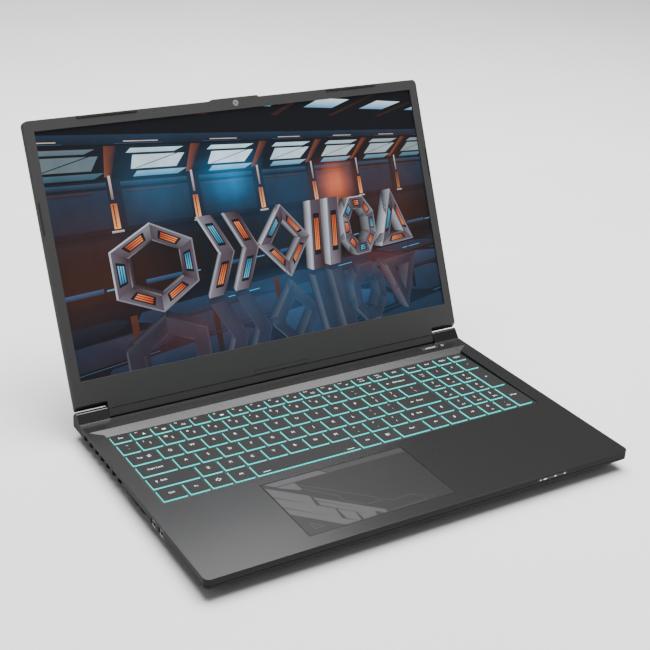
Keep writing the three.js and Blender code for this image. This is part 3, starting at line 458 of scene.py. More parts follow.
def make_studio():
    world = bpy.data.worlds.new("studio")
    world.use_nodes = True
    world.node_tree.nodes["Background"].inputs["Color"].default_value = (1, 1, 1, 1)
    world.node_tree.nodes["Background"].inputs["Strength"].default_value = WORLD_LIGHT
    bpy.context.scene.world = world
    area_light("overhead", (0.2, 0.2, 2.3), (0, 0, 0), (2.2, 1.6), 140)
    area_light("bar_light", (0.8, 0.68, 1.5), (0, 0.05, 0), (1.1, 0.3), 8.5)
    area_light("rear_panel", (0.36, 1.05, 1.04), (-0.1, -0.12, 0), (0.6, 0.42), 3.0)
    sketch = Sketch()
    flat(sketch, rounded(-4000, 4000, -4000, 4000, 900, 8)(0), -0.1)
    mesh = bpy.data.meshes.new("floor")
    mesh.from_pydata([Vector(point) * MM for point in sketch.points], [], sketch.faces)
    mesh.materials.append(floor_paint())
    floor = linked("floor", mesh)


make_camera()
make_studio()


# -------- keyboard
CAP_RADIUS = 1.1
CAP_EDGE = 0.22
SKIRT_TOP = 0.35  # from the cap's top face down to its glowing side wall
SKIRT_BOTTOM = -0.9
LEGEND_LIFT = 0.006
ROW_TOLERANCE = 2.0


def key_rectangles(node):
    """The outlines of a group's caps on the well's floor, from the rear row forward, left to right."""
    inverse = WELL.inverted()
    mesh = nodes[node].data
    points = [inverse @ vertex.co / MM for vertex in mesh.vertices]
    top = max(point.z for point in points)
    found = set()
    for polygon in mesh.polygons:
        corners = [points[i] for i in polygon.vertices]
        if min(corner.z for corner in corners) > top - 0.05:
            xs = [corner.x for corner in corners]
            ys = [corner.y for corner in corners]
            found.add(tuple(round(value, 2) for value in (min(xs), max(xs), min(ys), max(ys))))
    return sorted(found, key=lambda r: (-round(r[3] / ROW_TOLERANCE), r[0])), top


def text_outlines(text, size):
    """Flat faces of a word, centred on the origin, in millimetres."""
    curve = bpy.data.curves.new("text", "FONT")
    curve.body = text
    curve.size = size
    curve.align_x = "CENTER"
    curve.align_y = "CENTER"
    curve.resolution_u = 2
    holder = linked("text", curve)
    mesh = bpy.data.meshes.new_from_object(holder)
    points = [(vertex.co.x, vertex.co.y) for vertex in mesh.vertices]
    faces = [tuple(polygon.vertices) for polygon in mesh.polygons]
    bpy.data.objects.remove(holder)
    bpy.data.curves.remove(curve)
    bpy.data.meshes.remove(mesh)
    return points, faces


def write(sketch, text, x, y, size, z):
    points, faces = text_outlines(text, size)
    start = len(sketch.points)
    sketch.points += [(x + a, y + b, z) for a, b in points]
    sketch.faces += [tuple(start + i for i in face) for face in faces]


def stroke(sketch, x0, y0, x1, y1, width, z):
    across = Vector((y0 - y1, x1 - x0)).normalized() * width / 2
    corners = [(x0, y0, 1), (x0, y0, -1), (x1, y1, -1), (x1, y1, 1)]
    sketch.face([(x + sign * across.x, y + sign * across.y, z) for x, y, sign in corners])


def trail(sketch, spots, width, z):
    """A line drawn from point to point."""
    for (x0, y0), (x1, y1) in zip(spots, spots[1:]):
        stroke(sketch, x0, y0, x1, y1, width, z)


def arrow(sketch, x, y, angle, length, z):
    """A straight arrow, turned by an angle from pointing right."""
    turn = Matrix.Rotation(math.radians(angle), 2)
    outline = [(-0.5, -0.07), (0.05, -0.07), (0.05, -0.3), (0.5, 0), (0.05, 0.3), (0.05, 0.07), (-0.5, 0.07)]
    spots = [turn @ Vector(point) * length for point in outline]
    sketch.face([(x + spot.x, y + spot.y, z) for spot in spots])


def icon(sketch, kind, x, y, z):
    """A small plain pictogram for a function key."""
    if kind == "fan":
        for angle in (90, 210, 330):
            flat(sketch, arc(x + 0.75 * math.cos(math.radians(angle)),
                             y + 0.75 * math.sin(math.radians(angle)), 0.55, 0, 330, 11), z)
    elif kind == "speaker":
        sketch.face([(x - 1.1, y - 0.4, z), (x - 0.5, y - 0.4, z), (x + 0.2, y - 1, z),
                     (x + 0.2, y + 1, z), (x - 0.5, y + 0.4, z), (x - 1.1, y + 0.4, z)])
        stroke(sketch, x + 0.8, y - 0.7, x + 0.8, y + 0.7, 0.25, z)
    elif kind == "sun":
        flat(sketch, arc(x, y, 0.6, 0, 330, 11), z)
        for i in range(8):
            c, s = math.cos(math.pi * i / 4), math.sin(math.pi * i / 4)
            stroke(sketch, x + 0.85 * c, y + 0.85 * s, x + 1.25 * c, y + 1.25 * s, 0.22, z)
    elif kind == "screen":
        corners = ((-1.4, -0.8), (1.4, -0.8), (1.4, 0.9), (-1.4, 0.9), (-1.4, -0.8))
        trail(sketch, [(x + a, y + b) for a, b in corners], 0.25, z)
    elif kind == "keys":
        flat(sketch, rounded(x - 1.5, x + 1.5, y - 0.8, y + 0.8, 0.3)(0), z)
    elif kind == "four":
        for dx, dy in ((-1, 0), (1, 0), (0, 1), (0, -1)):
            sketch.face([(x + 1.5 * dx + 0.75 * a, y + 1.5 * dy + 0.75 * b, z)
                         for a, b in ((1, 0), (0, 1), (-1, 0), (0, -1))])
    elif kind == "menu":
        for dy in (-1.1, 0, 1.1):
            stroke(sketch, x - 1.6, y + dy, x + 1.6, y + dy, 0.4, z)


FUNCTION_ICONS = [
    "fan", "keys", "screen", "", "keys", "speaker",
    "speaker", "sun", "sun", "screen", "fan", "speaker",
]
WORD_SIZE = 2.9
LETTER_SIZE = 3.9
MARK_SIZE = 3.4
SMALL_SIZE = 2.1


def letter(text):
    return [("text", text, 0, 0.5, LETTER_SIZE)]


def word(text, x=0.0):
    return [("text", text, x, 0, WORD_SIZE)]


def number(mark, digit):
    return [("text", mark, -3.6, 3.2, 3.2), ("text", digit, 0.6, -0.6, LETTER_SIZE)]


def pair(upper, lower):
    return [("text", upper, 0, 3.2, MARK_SIZE), ("text", lower, 0, -3.0, MARK_SIZE)]


def pad(digit, under):
    return [("text", digit, 0, 2.2, LETTER_SIZE), ("text", under, 0.6, -4.0, SMALL_SIZE)]


def two_lines(upper, lower):
    return [("text", upper, 0, 1.7, SMALL_SIZE), ("text", lower, 0, -1.7, SMALL_SIZE)]


def pointing(angle):
    return [("arrow", angle, 0, 0, MARK_SIZE)]


def function_key(i):
    return [("text", f"F{i + 1}", -3.0, 2.6, SMALL_SIZE), ("icon", FUNCTION_ICONS[i], 1.6, -1.6, 0)]


LEGENDS = {
    "function_keys": [
        word("Esc"), *(function_key(i) for i in range(12)),
        two_lines("Pause", "Break"), two_lines("PrtSc", "SysRq"), word("Del"),
        word("Home"), word("End"), word("PgUp"), word("PgDn"),
    ],
    "number_keys": [
        pair("~", "`"), *(number(mark, digit) for mark, digit in zip("!@#$%^&*()", "1234567890")),
        pair("_", "-"), pair("+", "="),
        two_lines("Num", "Lk"), letter("/"), letter("*"), letter("-"),
    ],
    "backspace_key": [[("arrow", 180, -9.5, 0, 2.8), ("text", "Backspace", 1.5, 0, WORD_SIZE)]],
    "upper_letter_keys": [
        [("text", "Tab", -3, 0, WORD_SIZE), ("arrow", 0, 4.2, 0.9, 3.0), ("arrow", 180, 4.2, -0.9, 3.0)],
        *(letter(name) for name in "QWERTYUIOP"), pair("{", "["), pair("}", "]"), pair("|", "\\"),
        pad("7", "Home"), pad("8", "up"), pad("9", "PgUp"), letter("+"),
    ],
    "home_letter_keys": [
        word("Caps Lock", -1), *(letter(name) for name in "ASDFGHJKL"), pair(":", ";"), pair('"', "'"),
        pad("4", "left"), letter("5"), pad("6", "right"),
    ],
    "enter_key": [[("arrow", 180, -7, 0, 3.0), ("text", "Enter", 0.5, 0, WORD_SIZE)]],
    "left_shift_key": [[("arrow", 90, -12.5, 0, 3.0), ("text", "Shift", -7, 0, WORD_SIZE)]],
    "lower_letter_keys": [
        *(letter(name) for name in "ZXCVBNM"), pair("<", ","), pair(">", "."), pair("?", "/"),
        pointing(90), pad("1", "End"), pad("2", "down"), pad("3", "PgDn"), word("Enter"),
    ],
    "right_shift_key": [[("arrow", 90, -5.5, 0, 3.0), ("text", "Shift", 1, 0, WORD_SIZE)]],
    "bottom_left_keys": [word("Ctrl"), word("Fn"), [("icon", "four", 0, 0.4, 0)], word("Alt")],
    "space_bar": [[]],
    "bottom_right_keys": [
        word("Alt"), [("icon", "menu", 0, 0, 0)], word("Ctrl"), pointing(180), pointing(270), pointing(0),
        pad("0", "Ins"), pad(".", "Del"),
    ],
}


def draw_legend(sketch, legend, x, y, z):
    for kind, what, dx, dy, size in legend:
        if kind == "text":
            write(sketch, what, x + dx, y + dy, size, z)
        elif kind == "arrow":
            arrow(sketch, x + dx, y + dy, what, size, z)
        elif what:
            icon(sketch, what, x + dx, y + dy, z)


def make_keys(node, legends):
    rectangles, top = key_rectangles(node)
    marks = Sketch()
    for i, ((x0, x1, y0, y1), legend) in enumerate(zip(rectangles, legends, strict=True)):
        cap = slab(Sketch(), rounded(x0, x1, y0, y1, CAP_RADIUS), top - SKIRT_TOP, top, CAP_EDGE, 0)
        made = cap.make(f"cap_{node}_{i + 1:02d}", WELL, node, "key_cap", "key_cap", SMOOTH)
        skirt = slab(
            Sketch(), rounded(x0 + 0.06, x1 - 0.06, y0 + 0.06, y1 - 0.06, CAP_RADIUS),
            SKIRT_BOTTOM, top - SKIRT_TOP, 0.02, 0.1, 2,
        )
        skirt.make(f"skirt_{node}_{i + 1:02d}", WELL, node, "key_glow", "key_cap", SMOOTH)
        if i == 0:
            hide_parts(node)
        draw_legend(marks, legend, (x0 + x1) / 2, (y0 + y1) / 2, top + LEGEND_LIFT)
    if node == "space_bar":
        x0, x1, y0, _ = rectangles[0]
        for x in (x0 + 8, x1 - 8):
            stroke(marks, x - 3, y0 + 2.2, x + 3, y0 + 2.2, 0.5, top + LEGEND_LIFT)
    marks.make(f"legends_{node}", WELL, node, "legend", "key_cap")


for group, legends in LEGENDS.items():
    make_keys(group, legends)


# -------- covers and plain pieces
softened("top_cover", "base", "deck_metal", 0.2)
softened("bottom_cover", "base", "base_plastic", 0.2)
softened("lid_back_cover", "lid", "lid_metal", 0.22, LID_OUT)
softened("display_bezel", "lid", "bezel_plastic", 0.12, LID_OUT)
softened("hinge_cover", "lid", "hinge_plastic", 0.12, rim="hinge_plastic")
paint("key_frame", "keyboard_frame")
paint("steel", "keyboard_plate", "hinge_bracket_left", "hinge_bracket_right",
      "hinge_leaf_left", "hinge_leaf_right")
paint("copper", "heat_pipe_front", "heat_pipe_rear", "heat_sink_left", "heat_sink_right",
      "processor_cold_plate", "graphics_cold_plate")
paint("socket_metal", *(name for name in nodes if "port" in name or "jack" in name))
paint("fan_plastic", "fan_housing_left", "fan_housing_right", "fan_impeller_left", "fan_impeller_right",
      "speaker_left", "speaker_right", "display_cable")
paint("circuit_board", "motherboard", "memory_module_left", "memory_module_right", "solid_state_drive",
      "wireless_card")
paint("battery_skin", "battery_pack")
paint("panel_back", "display_panel")
paint("chip", "webcam_module")
paint("light_window", "status_light_window")


# -------- small pieces of the base
SLOTS = {entry["slot"] for entry in frame["record"]["materials"]}


def rounded_block(name, node, place, body, surface, radius, edge, low_edge=None, grow=0.0):
    """A softened stand-in for a CAD node that is a plain block or pad."""
    low, high = boxed(node, place)
    outline = rounded(low.x - grow, high.x + grow, low.y - grow, high.y + grow, radius)
    made = slab(Sketch(), outline, low.z, high.z, edge, low_edge).make(
        name, place, body, surface, surface if surface in SLOTS else "base_plastic", SMOOTH
    )
    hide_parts(node)
    return low, high


FRONT = DECK @ Matrix.Translation((0, -HALF_DEPTH * MM, 0)) @ Matrix.Rotation(math.pi / 2, 4, "X")
UNDER = DECK @ Matrix.Rotation(math.pi, 4, "Y")
PRINT_LIFT = 0.008  # printed marks stand this far off their surface


def clipped(polygon, x0, x1, y0, y1):
    """A polygon whose points start with x and y, cut to a rectangle."""
    for axis, bound, sign in ((0, x0, 1), (0, x1, -1), (1, y0, 1), (1, y1, -1)):
        kept = []
        for i, end in enumerate(polygon):
            start = polygon[i - 1]
            a = (start[axis] - bound) * sign
            b = (end[axis] - bound) * sign
            if a * b < 0:
                share = a / (a - b)
                kept.append(tuple(p + (q - p) * share for p, q in zip(start, end)))
            if b >= 0:
                kept.append(end)
        polygon = kept
        if len(polygon) < 3:
            return []
    return polygon


STRIPE_FALL = 0.96  # how far a stripe falls for each millimetre to the right
STRIPE_SLANT = 1.8
PRINT_MARGIN = 0.8
HATCH_LINES = 33
HATCH_PITCH = 2.1


def make_touchpad():
    low, high = rounded_block("touchpad_plate", "touchpad", DECK, "touchpad", "touch_surface", 0.6, 0.12)
    width, depth = high.x - low.x, high.y - low.y
    prints = Sketch()
    z = high.z + PRINT_LIFT

    def place(polygon):
        cut_shape = clipped(polygon, PRINT_MARGIN, width - PRINT_MARGIN, PRINT_MARGIN, depth - PRINT_MARGIN)
        if cut_shape:
            prints.face([(low.x + a, high.y - b, z) for a, b in reversed(cut_shape)])

    def stripe(start, end, left, right):
        """A stripe that falls from the upper left to the lower right, with a slanted end."""
        place([(left, left * STRIPE_FALL + start), (right, right * STRIPE_FALL + start),
               (right - STRIPE_SLANT, right * STRIPE_FALL + end), (left, left * STRIPE_FALL + end)])

    for start, end, left, right in (
        (4.0, 16.6, 0, 24.7), (5.4, 9.6, 26, 64), (10.8, 16.6, 26, 56), (18.2, 31.0, 0, 32.5),
        (18.2, 31.0, 33.6, 43), (18.2, 31.0, 44, 56), (32.6, 40.8, 0, 40),
    ):
        stripe(start, end, left, right)
    place([(8.5, 7.8), (23.5, 7.8), (24.4, 16.8), (22.2, 18.2)])
    place([(2.4, 0.8), (46.8, 0.8), (52, 6.8), (8.6, 6.8)])
    for i in range(HATCH_LINES):
        a = 49.5 + i * HATCH_PITCH
        place([(a, 0.9), (a + 0.8, 0.9), (a + 5.2, 6.7), (a + 4.4, 6.7)])
    for path in (
        [(26, 12.5), (43.5, 28.8), (52, 37.5), (66, 50), (66, 54.6)],
        [(56.6, 55), (70.4, 55), (74.8, 58.8), (90.4, 58.2), (99, 65.4), (96.6, 68.8), (67.4, 68.8)],
        [(26, 18.8), (42.9, 36.3), (43.1, 43), (54.8, 54.6)],
        [(7.8, 57), (7.8, 64.4), (15.4, 64.4), (7.8, 57)],
        [(102, 67.8), (103.4, 66.4), (103.6, 67.6), (105, 66.2)],
    ):
        trail(prints, [(low.x + a, high.y - b) for a, b in path], 0.35, z)
    prints.make("touchpad_print", DECK, "touchpad", "touch_print", "touch_surface")


BUTTON_FLANGE = 1.1
BUTTON_MARKS = 5
BUTTON_MARK_PITCH = 2.1


def make_button():
    low, high = boxed("power_button", DECK)
    flange = BUTTON_FLANGE
    cap = slab(
        Sketch(), rounded(low.x + flange, high.x - flange, low.y + flange, high.y - flange, 0.9),
        low.z, high.z, 0.15, 0,
    )
    made = cap.make("power_button_cap", DECK, "power_button", "button_plastic", "button_plastic", SMOOTH)
    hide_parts("power_button")
    plate = slab(Sketch(), rounded(low.x, high.x, low.y, high.y, 0.6), low.z - 0.01, low.z + 0.5, 0.08)
    plate.make("power_button_flange", DECK, "power_button", "button_plastic", "button_plastic", SMOOTH)
    centre_x, centre_y, z = (low.x + high.x) / 2, (low.y + high.y) / 2, high.z + PRINT_LIFT
    label = Sketch()
    for i in range(BUTTON_MARKS):
        x = centre_x + (i - 2) * BUTTON_MARK_PITCH
        label.face([(x, centre_y - 0.5, z), (x + 1.5, centre_y - 0.5, z),
                    (x + 1.9, centre_y + 0.5, z), (x + 0.4, centre_y + 0.5, z)])
    label.make("power_button_label", DECK, "power_button", "indicator", "button_plastic")
    symbol = Sketch()
    x, y, z = high.x + 4.2, centre_y, PRINT_LIFT
    trail(symbol, arc(x, y, 1.1, 125, 415, 16), 0.3, z)
    stroke(symbol, x, y + 0.2, x, y + 1.5, 0.3, z)
    symbol.make("power_symbol", DECK, "base", "indicator", "light_window")


def make_status_marks():
    low, high = boxed("status_light_window", FRONT)
    rounded_block("status_window", "status_light_window", FRONT, "base", "light_window", 0.5, 0.1, 0)
    marks = Sketch()
    y, z = (low.y + high.y) / 2, high.z + PRINT_LIFT
    flat(marks, arc(low.x + 2.5, y, 0.5, 0, 330, 11), z)
    stroke(marks, low.x + 5.4, y, low.x + 8.0, y, 0.9, z)
    stroke(marks, low.x + 8.3, y, low.x + 8.6, y, 0.5, z)
    flat(marks, rounded(low.x + 15.6, low.x + 17.4, y - 0.5, y + 0.5, 0.4)(0), z)
    marks.face([(low.x + 24.6, y - 0.6, z), (low.x + 26.4, y - 0.6, z), (low.x + 25.5, y + 0.6, z)])
    marks.make("status_marks", FRONT, "base", "indicator", "light_window")


def make_feet():
    for name in ("foot_front_left", "foot_front_right", "foot_rear"):
        low, high = rounded_block(name + "_pad", name, UNDER, "base", "rubber", 3.9, 0.6, 0)
        # The grooves are flat dark strips: painted shade for the recesses in the rubber pad.
        grooves = Sketch()
        for i in (-1, 0, 1):
            y = (low.y + high.y) / 2 + i * 1.6
            stroke(grooves, low.x + 5, y, high.x - 5, y, 0.4, high.z)
        grooves.make(name + "_grooves", UNDER, "base", "seam_and_hollow_shade", "rubber")


def make_screws():
    high = boxed("bottom_cover", UNDER)[1]
    places = [(x, y) for x in (-158, -60, 60, 158) for y in (-98, 106)] + [(-160, 12), (160, 12), (0, -10)]
    for i, (x, y) in enumerate(places):
        head = slab(Sketch(), disc(x, y, 2.6), high.z - 0.3, high.z + 0.35, 0.25, 0)
        head.make(f"screw_{i + 1:02d}", UNDER, "base", "dark_steel", "steel", SMOOTH)
        # The cross recess is drawn as flat dark strokes: painted shade in the slot of the head.
        cross = Sketch()
        for dx, dy in ((1.4, 0), (0, 1.4)):
            stroke(cross, x - dx, y - dy, x + dx, y + dy, 0.5, high.z + 0.36)
        cross.make(f"screw_cross_{i + 1:02d}", UNDER, "base", "seam_and_hollow_shade", "steel")


def make_board_parts():
    """Chips, coils and connectors on the upper side of the motherboard."""
    high = boxed("motherboard", DECK)[1]
    chips, coils, gold = Sketch(), Sketch(), Sketch()
    for x in (-34, 34):
        slab(chips, rounded(x - 13, x + 13, 32, 58, 0.6), high.z, high.z + 1.0, 0.1)
    for i in range(8):
        x = -56 + 16 * i
        slab(coils, rounded(x - 3, x + 3, 68, 74, 0.8), high.z, high.z + 1.4, 0.3)
        slab(chips, rounded(x - 5, x + 5, -4, 8, 0.3), high.z, high.z + 0.8, 0.1)
    for i in range(5):
        x = -140 + 70 * i
        slab(gold, rounded(x - 10, x + 10, -18, -15, 0.2), high.z, high.z + 0.9, 0.1)
    chips.make("board_chips", DECK, "base", "chip", "circuit_board")
    coils.make("board_coils", DECK, "base", "dark_steel", "circuit_board")
    gold.make("board_connectors", DECK, "base", "gold", "circuit_board")


# -------- small pieces of the lid
bezel_face = boxed("display_bezel", LID)[1].z
LOW_SLOT = (-25.0, 24.5, 1.6, 4.9)
LENS_RING_RADIUS = 2.6
LENS_RADIUS = 0.55
PINHOLES = (-24.5, -12.0, 25.5)


def make_bezel_details():
    camera_low, camera_high = boxed("webcam_module", LID)
    lens_y = (camera_low.y + camera_high.y) / 2
    lens_top = bezel_face - 0.1
    ring = slab(Sketch(), disc(0, lens_y, LENS_RING_RADIUS, 40), lens_top, lens_top + 0.18, 0.14, 0)
    ring.make("lens_ring", LID, "lid", "lens_ring", "lens", SMOOTH)
    glass = slab(Sketch(), disc(0, lens_y, LENS_RADIUS, 32), lens_top + 0.1, lens_top + 0.24, 0.05, 0)
    glass.make("lens_glass", LID, "lid", "lens", "lens", SMOOTH)
    # The pinholes and the low slot's outline are flat dark marks: painted shade where the bezel has openings.
    holes = Sketch()
    for x in PINHOLES:
        flat(holes, disc(x, lens_y, 0.42, 16)(0), bezel_face + PRINT_LIFT)
    x0, x1, y0, y1 = LOW_SLOT
    for a, b, c, d in ((x0, y0, x1, y0), (x0, y1, x1, y1), (x0, y0, x0, y1), (x1, y0, x1, y1)):
        stroke(holes, a, b, c, d, 0.4, bezel_face + PRINT_LIFT)
    holes.make("bezel_openings", LID, "lid", "seam_and_hollow_shade", "bezel_plastic")
    for name, side in (("left", -1), ("right", 1)):
        inner, outer = sorted((side * (HALF_WIDTH - 1.9), side * (HALF_WIDTH - 0.5)))
        outline = rounded(inner, outer, 141.4, 166.4, 0.6)
        bumper = slab(Sketch(), outline, bezel_face - 0.3, bezel_face + 0.5, 0.3, 0)
        bumper.make(f"side_bumper_{name}", LID, "lid", "rubber", "rubber", SMOOTH)
        rounded_block(f"top_bumper_{name}", f"bumper_{name}", LID, "lid", "rubber", 0.7, 0.3, 0)


make_touchpad()
make_button()
make_status_marks()
make_feet()
make_screws()
make_board_parts()
make_bezel_details()


# -------- the picture on the screen
# A made-up hall: a long wall that runs away to the right, slanted roof windows, a polished floor, and a
# row of plain metal shapes that stand in front of the wall. Hall places are (along, out, height).
panel_low, panel_high = boxed("display_panel", LID)
PANEL_OVERLAP = 2.0
PICTURE = (
    panel_low.x + PANEL_OVERLAP, panel_high.x - PANEL_OVERLAP,
    panel_low.y + PANEL_OVERLAP, panel_high.y - PANEL_OVERLAP,
)
LAYER = 0.012  # from one layer of the picture to the next
HALL_TURN = math.radians(16)
WALL_START = Vector((-8.5, 9.2))
ALONG = Vector((math.cos(HALL_TURN), math.sin(HALL_TURN)))
OUT = Vector((math.sin(HALL_TURN), -math.cos(HALL_TURN)))
ZOOM = 215.0  # the hall's drawn size
HORIZON = PICTURE[2] + 105.0  # where the eye looks level
BAY = 3.1
BAYS = 8
HALL_LENGTH = BAY * BAYS
FLOOR = -2.45
WALL_TOP = 2.1
ROOF = 3.9
WINDOW_START = 0.8  # along each bay
WINDOW_SHINE = (0.05, 0.14, 0.8, 1.0, 0.8, 0.6, 0.45, 0.3, 0.2)
LIT_POSTS = range(1, 6)
FORMS_OUT = 2.6  # how far the forms stand in front of the wall


def bays(first, shift=0.0):
    """Where the wall's bays start, from the first one asked for, each moved along by a shift."""
    return [BAY * i + shift for i in range(first, BAYS)]


def hall(along, out, height):
    """A point of the hall, seen on the screen."""
    spot = WALL_START + ALONG * along + OUT * out
    depth = max(spot.y, 0.4)
    return ZOOM * spot.x / depth, HORIZON + ZOOM * height / depth


def floor_at(spot):
    """The place on the hall's floor that a point of the screen shows."""
    depth = ZOOM * FLOOR / min(spot[1] - HORIZON, -1.0)
    offset = Vector((spot[0] * depth / ZOOM, depth)) - WALL_START
    return offset.dot(ALONG), offset.dot(OUT), FLOOR


def tone(code, power=1.0):
    values = [int(code[i:i + 2], 16) / 255 for i in (0, 2, 4)]
    return tuple(power * (v / 12.92 if v <= 0.04045 else ((v + 0.055) / 1.055) ** 2.4) for v in values)


def blend(a, b, share):
    return tuple(p + (q - p) * share for p, q in zip(a, b))


def within(corners, across, up):
    """A point, or a colour, between four corners given in order round the outline."""
    return blend(blend(corners[0], corners[1], across), blend(corners[3], corners[2], across), up)


def area_of(spots):
    return sum(a[0] * b[1] - b[0] * a[1] for a, b in zip(spots, spots[1:] + spots[:1])) / 2


class Picture:
    """Coloured flat shapes, each layer a hair in front of the one before, lit by soft lamps."""

    def __init__(self, lamps):
        self.points, self.faces, self.colours, self.layer = [], [], [], 1
        self.lamps = lamps

    def next(self):
        self.layer += 1

    def shape(self, spots, colours):
        corners = [(*spot, *colour) for spot, colour in zip(spots, colours)]
        kept = clipped(corners, *PICTURE)
        if len(kept) < 3:
            return
        if area_of(kept) < 0:
            kept.reverse()
        start = len(self.points)
        self.points += [(x, y, panel_high.z + self.layer * LAYER) for x, y, *_ in kept]
        self.colours += [corner[2:] for corner in kept]
        self.faces.append(tuple(range(start, len(self.points))))

    def lit(self, spot, colour):
        """A colour, with the glow of the lamps round a point of the hall."""
        for place, reach, glow in self.lamps:
            share = math.exp(-(((Vector(spot) - Vector(place)).length / reach) ** 2))
            colour = tuple(c + g * share for c, g in zip(colour, glow))
        return colour

    def panel(self, corners, colours, cells=(5, 4)):
        """A panel between four corners of the hall, in cells so that its light is soft."""
        across, up = cells
        for i in range(across):
            for j in range(up):
                ring = [(a / across, b / up) for a, b in ((i, j), (i + 1, j), (i + 1, j + 1), (i, j + 1))]
                spots = [within(corners, *share) for share in ring]
                tones = [self.lit(spot, within(colours, *share)) for spot, share in zip(spots, ring)]
                self.shape([hall(*spot) for spot in spots], tones)

    def wall(self, a0, a1, h0, h1, low, high, out=0.0, far=None, cells=(5, 4)):
        """An upright panel; its colours at the foot and the head, and at its far end."""
        far_low, far_high = far or (low, high)
        corners = [(a0, out, h0), (a1, out, h0), (a1, out, h1), (a0, out, h1)]
        self.panel(corners, [low, far_low, far_high, high], cells)

    def level(self, a0, a1, o0, o1, height, near, far, skew=0.0, cells=(4, 3)):
        """A level panel; its colours at the wall and away from it."""
        corners = [(a0, o0, height), (a1, o0, height), (a1 + skew, o1, height), (a0 + skew, o1, height)]
        self.panel(corners, [near, near, far, far], cells)

    def make(self):
        return piece(
            "screen_picture", self.points, self.faces, LID, "lid", "screen", colours=self.colours
        )


NIGHT = tone("080a10")
NAVY = tone("14202f")
STEEL_BLUE = tone("28435c")
ICE = tone("d8f1f9", 1.25)
SKY = tone("4db4e0")
COPPER = tone("8a4a2c")
LAMPS = [
    ((14.0, 0.0, 1.0), 0.85, tone("ff7a38", 0.85)),
    ((7.9, 0.0, 1.8), 0.9, tone("18a0e6", 0.62)),
    ((4.8, 0.0, 1.9), 1.3, tone("2f8fc4", 0.22)),
    ((11.0, 0.0, 0.6), 2.0, tone("2f6f9c", 0.16)),
    ((2.0, 0.3, -1.0), 2.2, tone("4a2418", 0.6)),
    ((18.0, 0.3, 0.2), 2.8, tone("4a2416", 0.7)),
    ((9.0, 3.8, FLOOR), 2.6, tone("2d6a98", 0.42)),
    ((13.5, 3.0, FLOOR), 1.6, tone("a04a28", 0.3)),
    ((5.6, 4.2, FLOOR), 1.4, tone("7a3a26", 0.35)),
]


def paint_hall(picture):
    x0, x1, y0, y1 = PICTURE
    picture.shape([(x0, y0), (x1, y0), (x1, y1), (x0, y1)], [NAVY, NIGHT, NIGHT, NIGHT])
    picture.next()
    picture.level(-3, HALL_LENGTH, 0, 8.4, FLOOR, tone("0a1019"), tone("080c13"), cells=(30, 10))
    picture.wall(-3, HALL_LENGTH, FLOOR, WALL_TOP + 0.3, tone("0c0f16"), tone("121a26"), cells=(30, 5))
    picture.next()
    paint_wall(picture)
    paint_roof(picture)
    paint_posts(picture)
    paint_floor(picture)
    for along, form in FORMS:
        paint_form(picture, form(), along, FORMS_OUT, mirrored=True)
    for along, form in reversed(FORMS):
        paint_form(picture, form(), along, FORMS_OUT)


def paint_wall(picture):
    """Upper and lower wall panels between the posts, with thin rails."""
    umber = tone("17110f")
    for a in bays(-1):
        picture.wall(a + 0.3, a + BAY - 0.2, 0.35, 1.75, tone("172536"), tone("1f3449"))
        picture.wall(a + 0.3, a + BAY - 0.2, 1.84, 2.02, tone("16283a"), tone("2c4d68"))
        picture.wall(a + 0.2, a + BAY - 0.1, -0.7, -0.05, umber, tone("191c24"))
        picture.wall(a + 0.2, a + BAY - 0.1, FLOOR + 0.25, -0.8, tone("1c1311"), umber)
    picture.next()
    for a in bays(-1):
        picture.wall(a + 0.05, a + BAY, 0.1, 0.2, tone("07090d"), tone("10161f"))
        picture.wall(a + 0.6, a + 2.2, FLOOR + 0.55, FLOOR + 0.72, tone("182f45"), tone("2d5c86"))
        picture.wall(a + 2.3, a + 2.8, FLOOR + 0.6, FLOOR + 0.66, SKY, tone("2b6a8c"))
        picture.wall(a + 0.5, a + 2.4, 1.62, 1.68, tone("080a0e"), tone("5d3424"))
    picture.next()


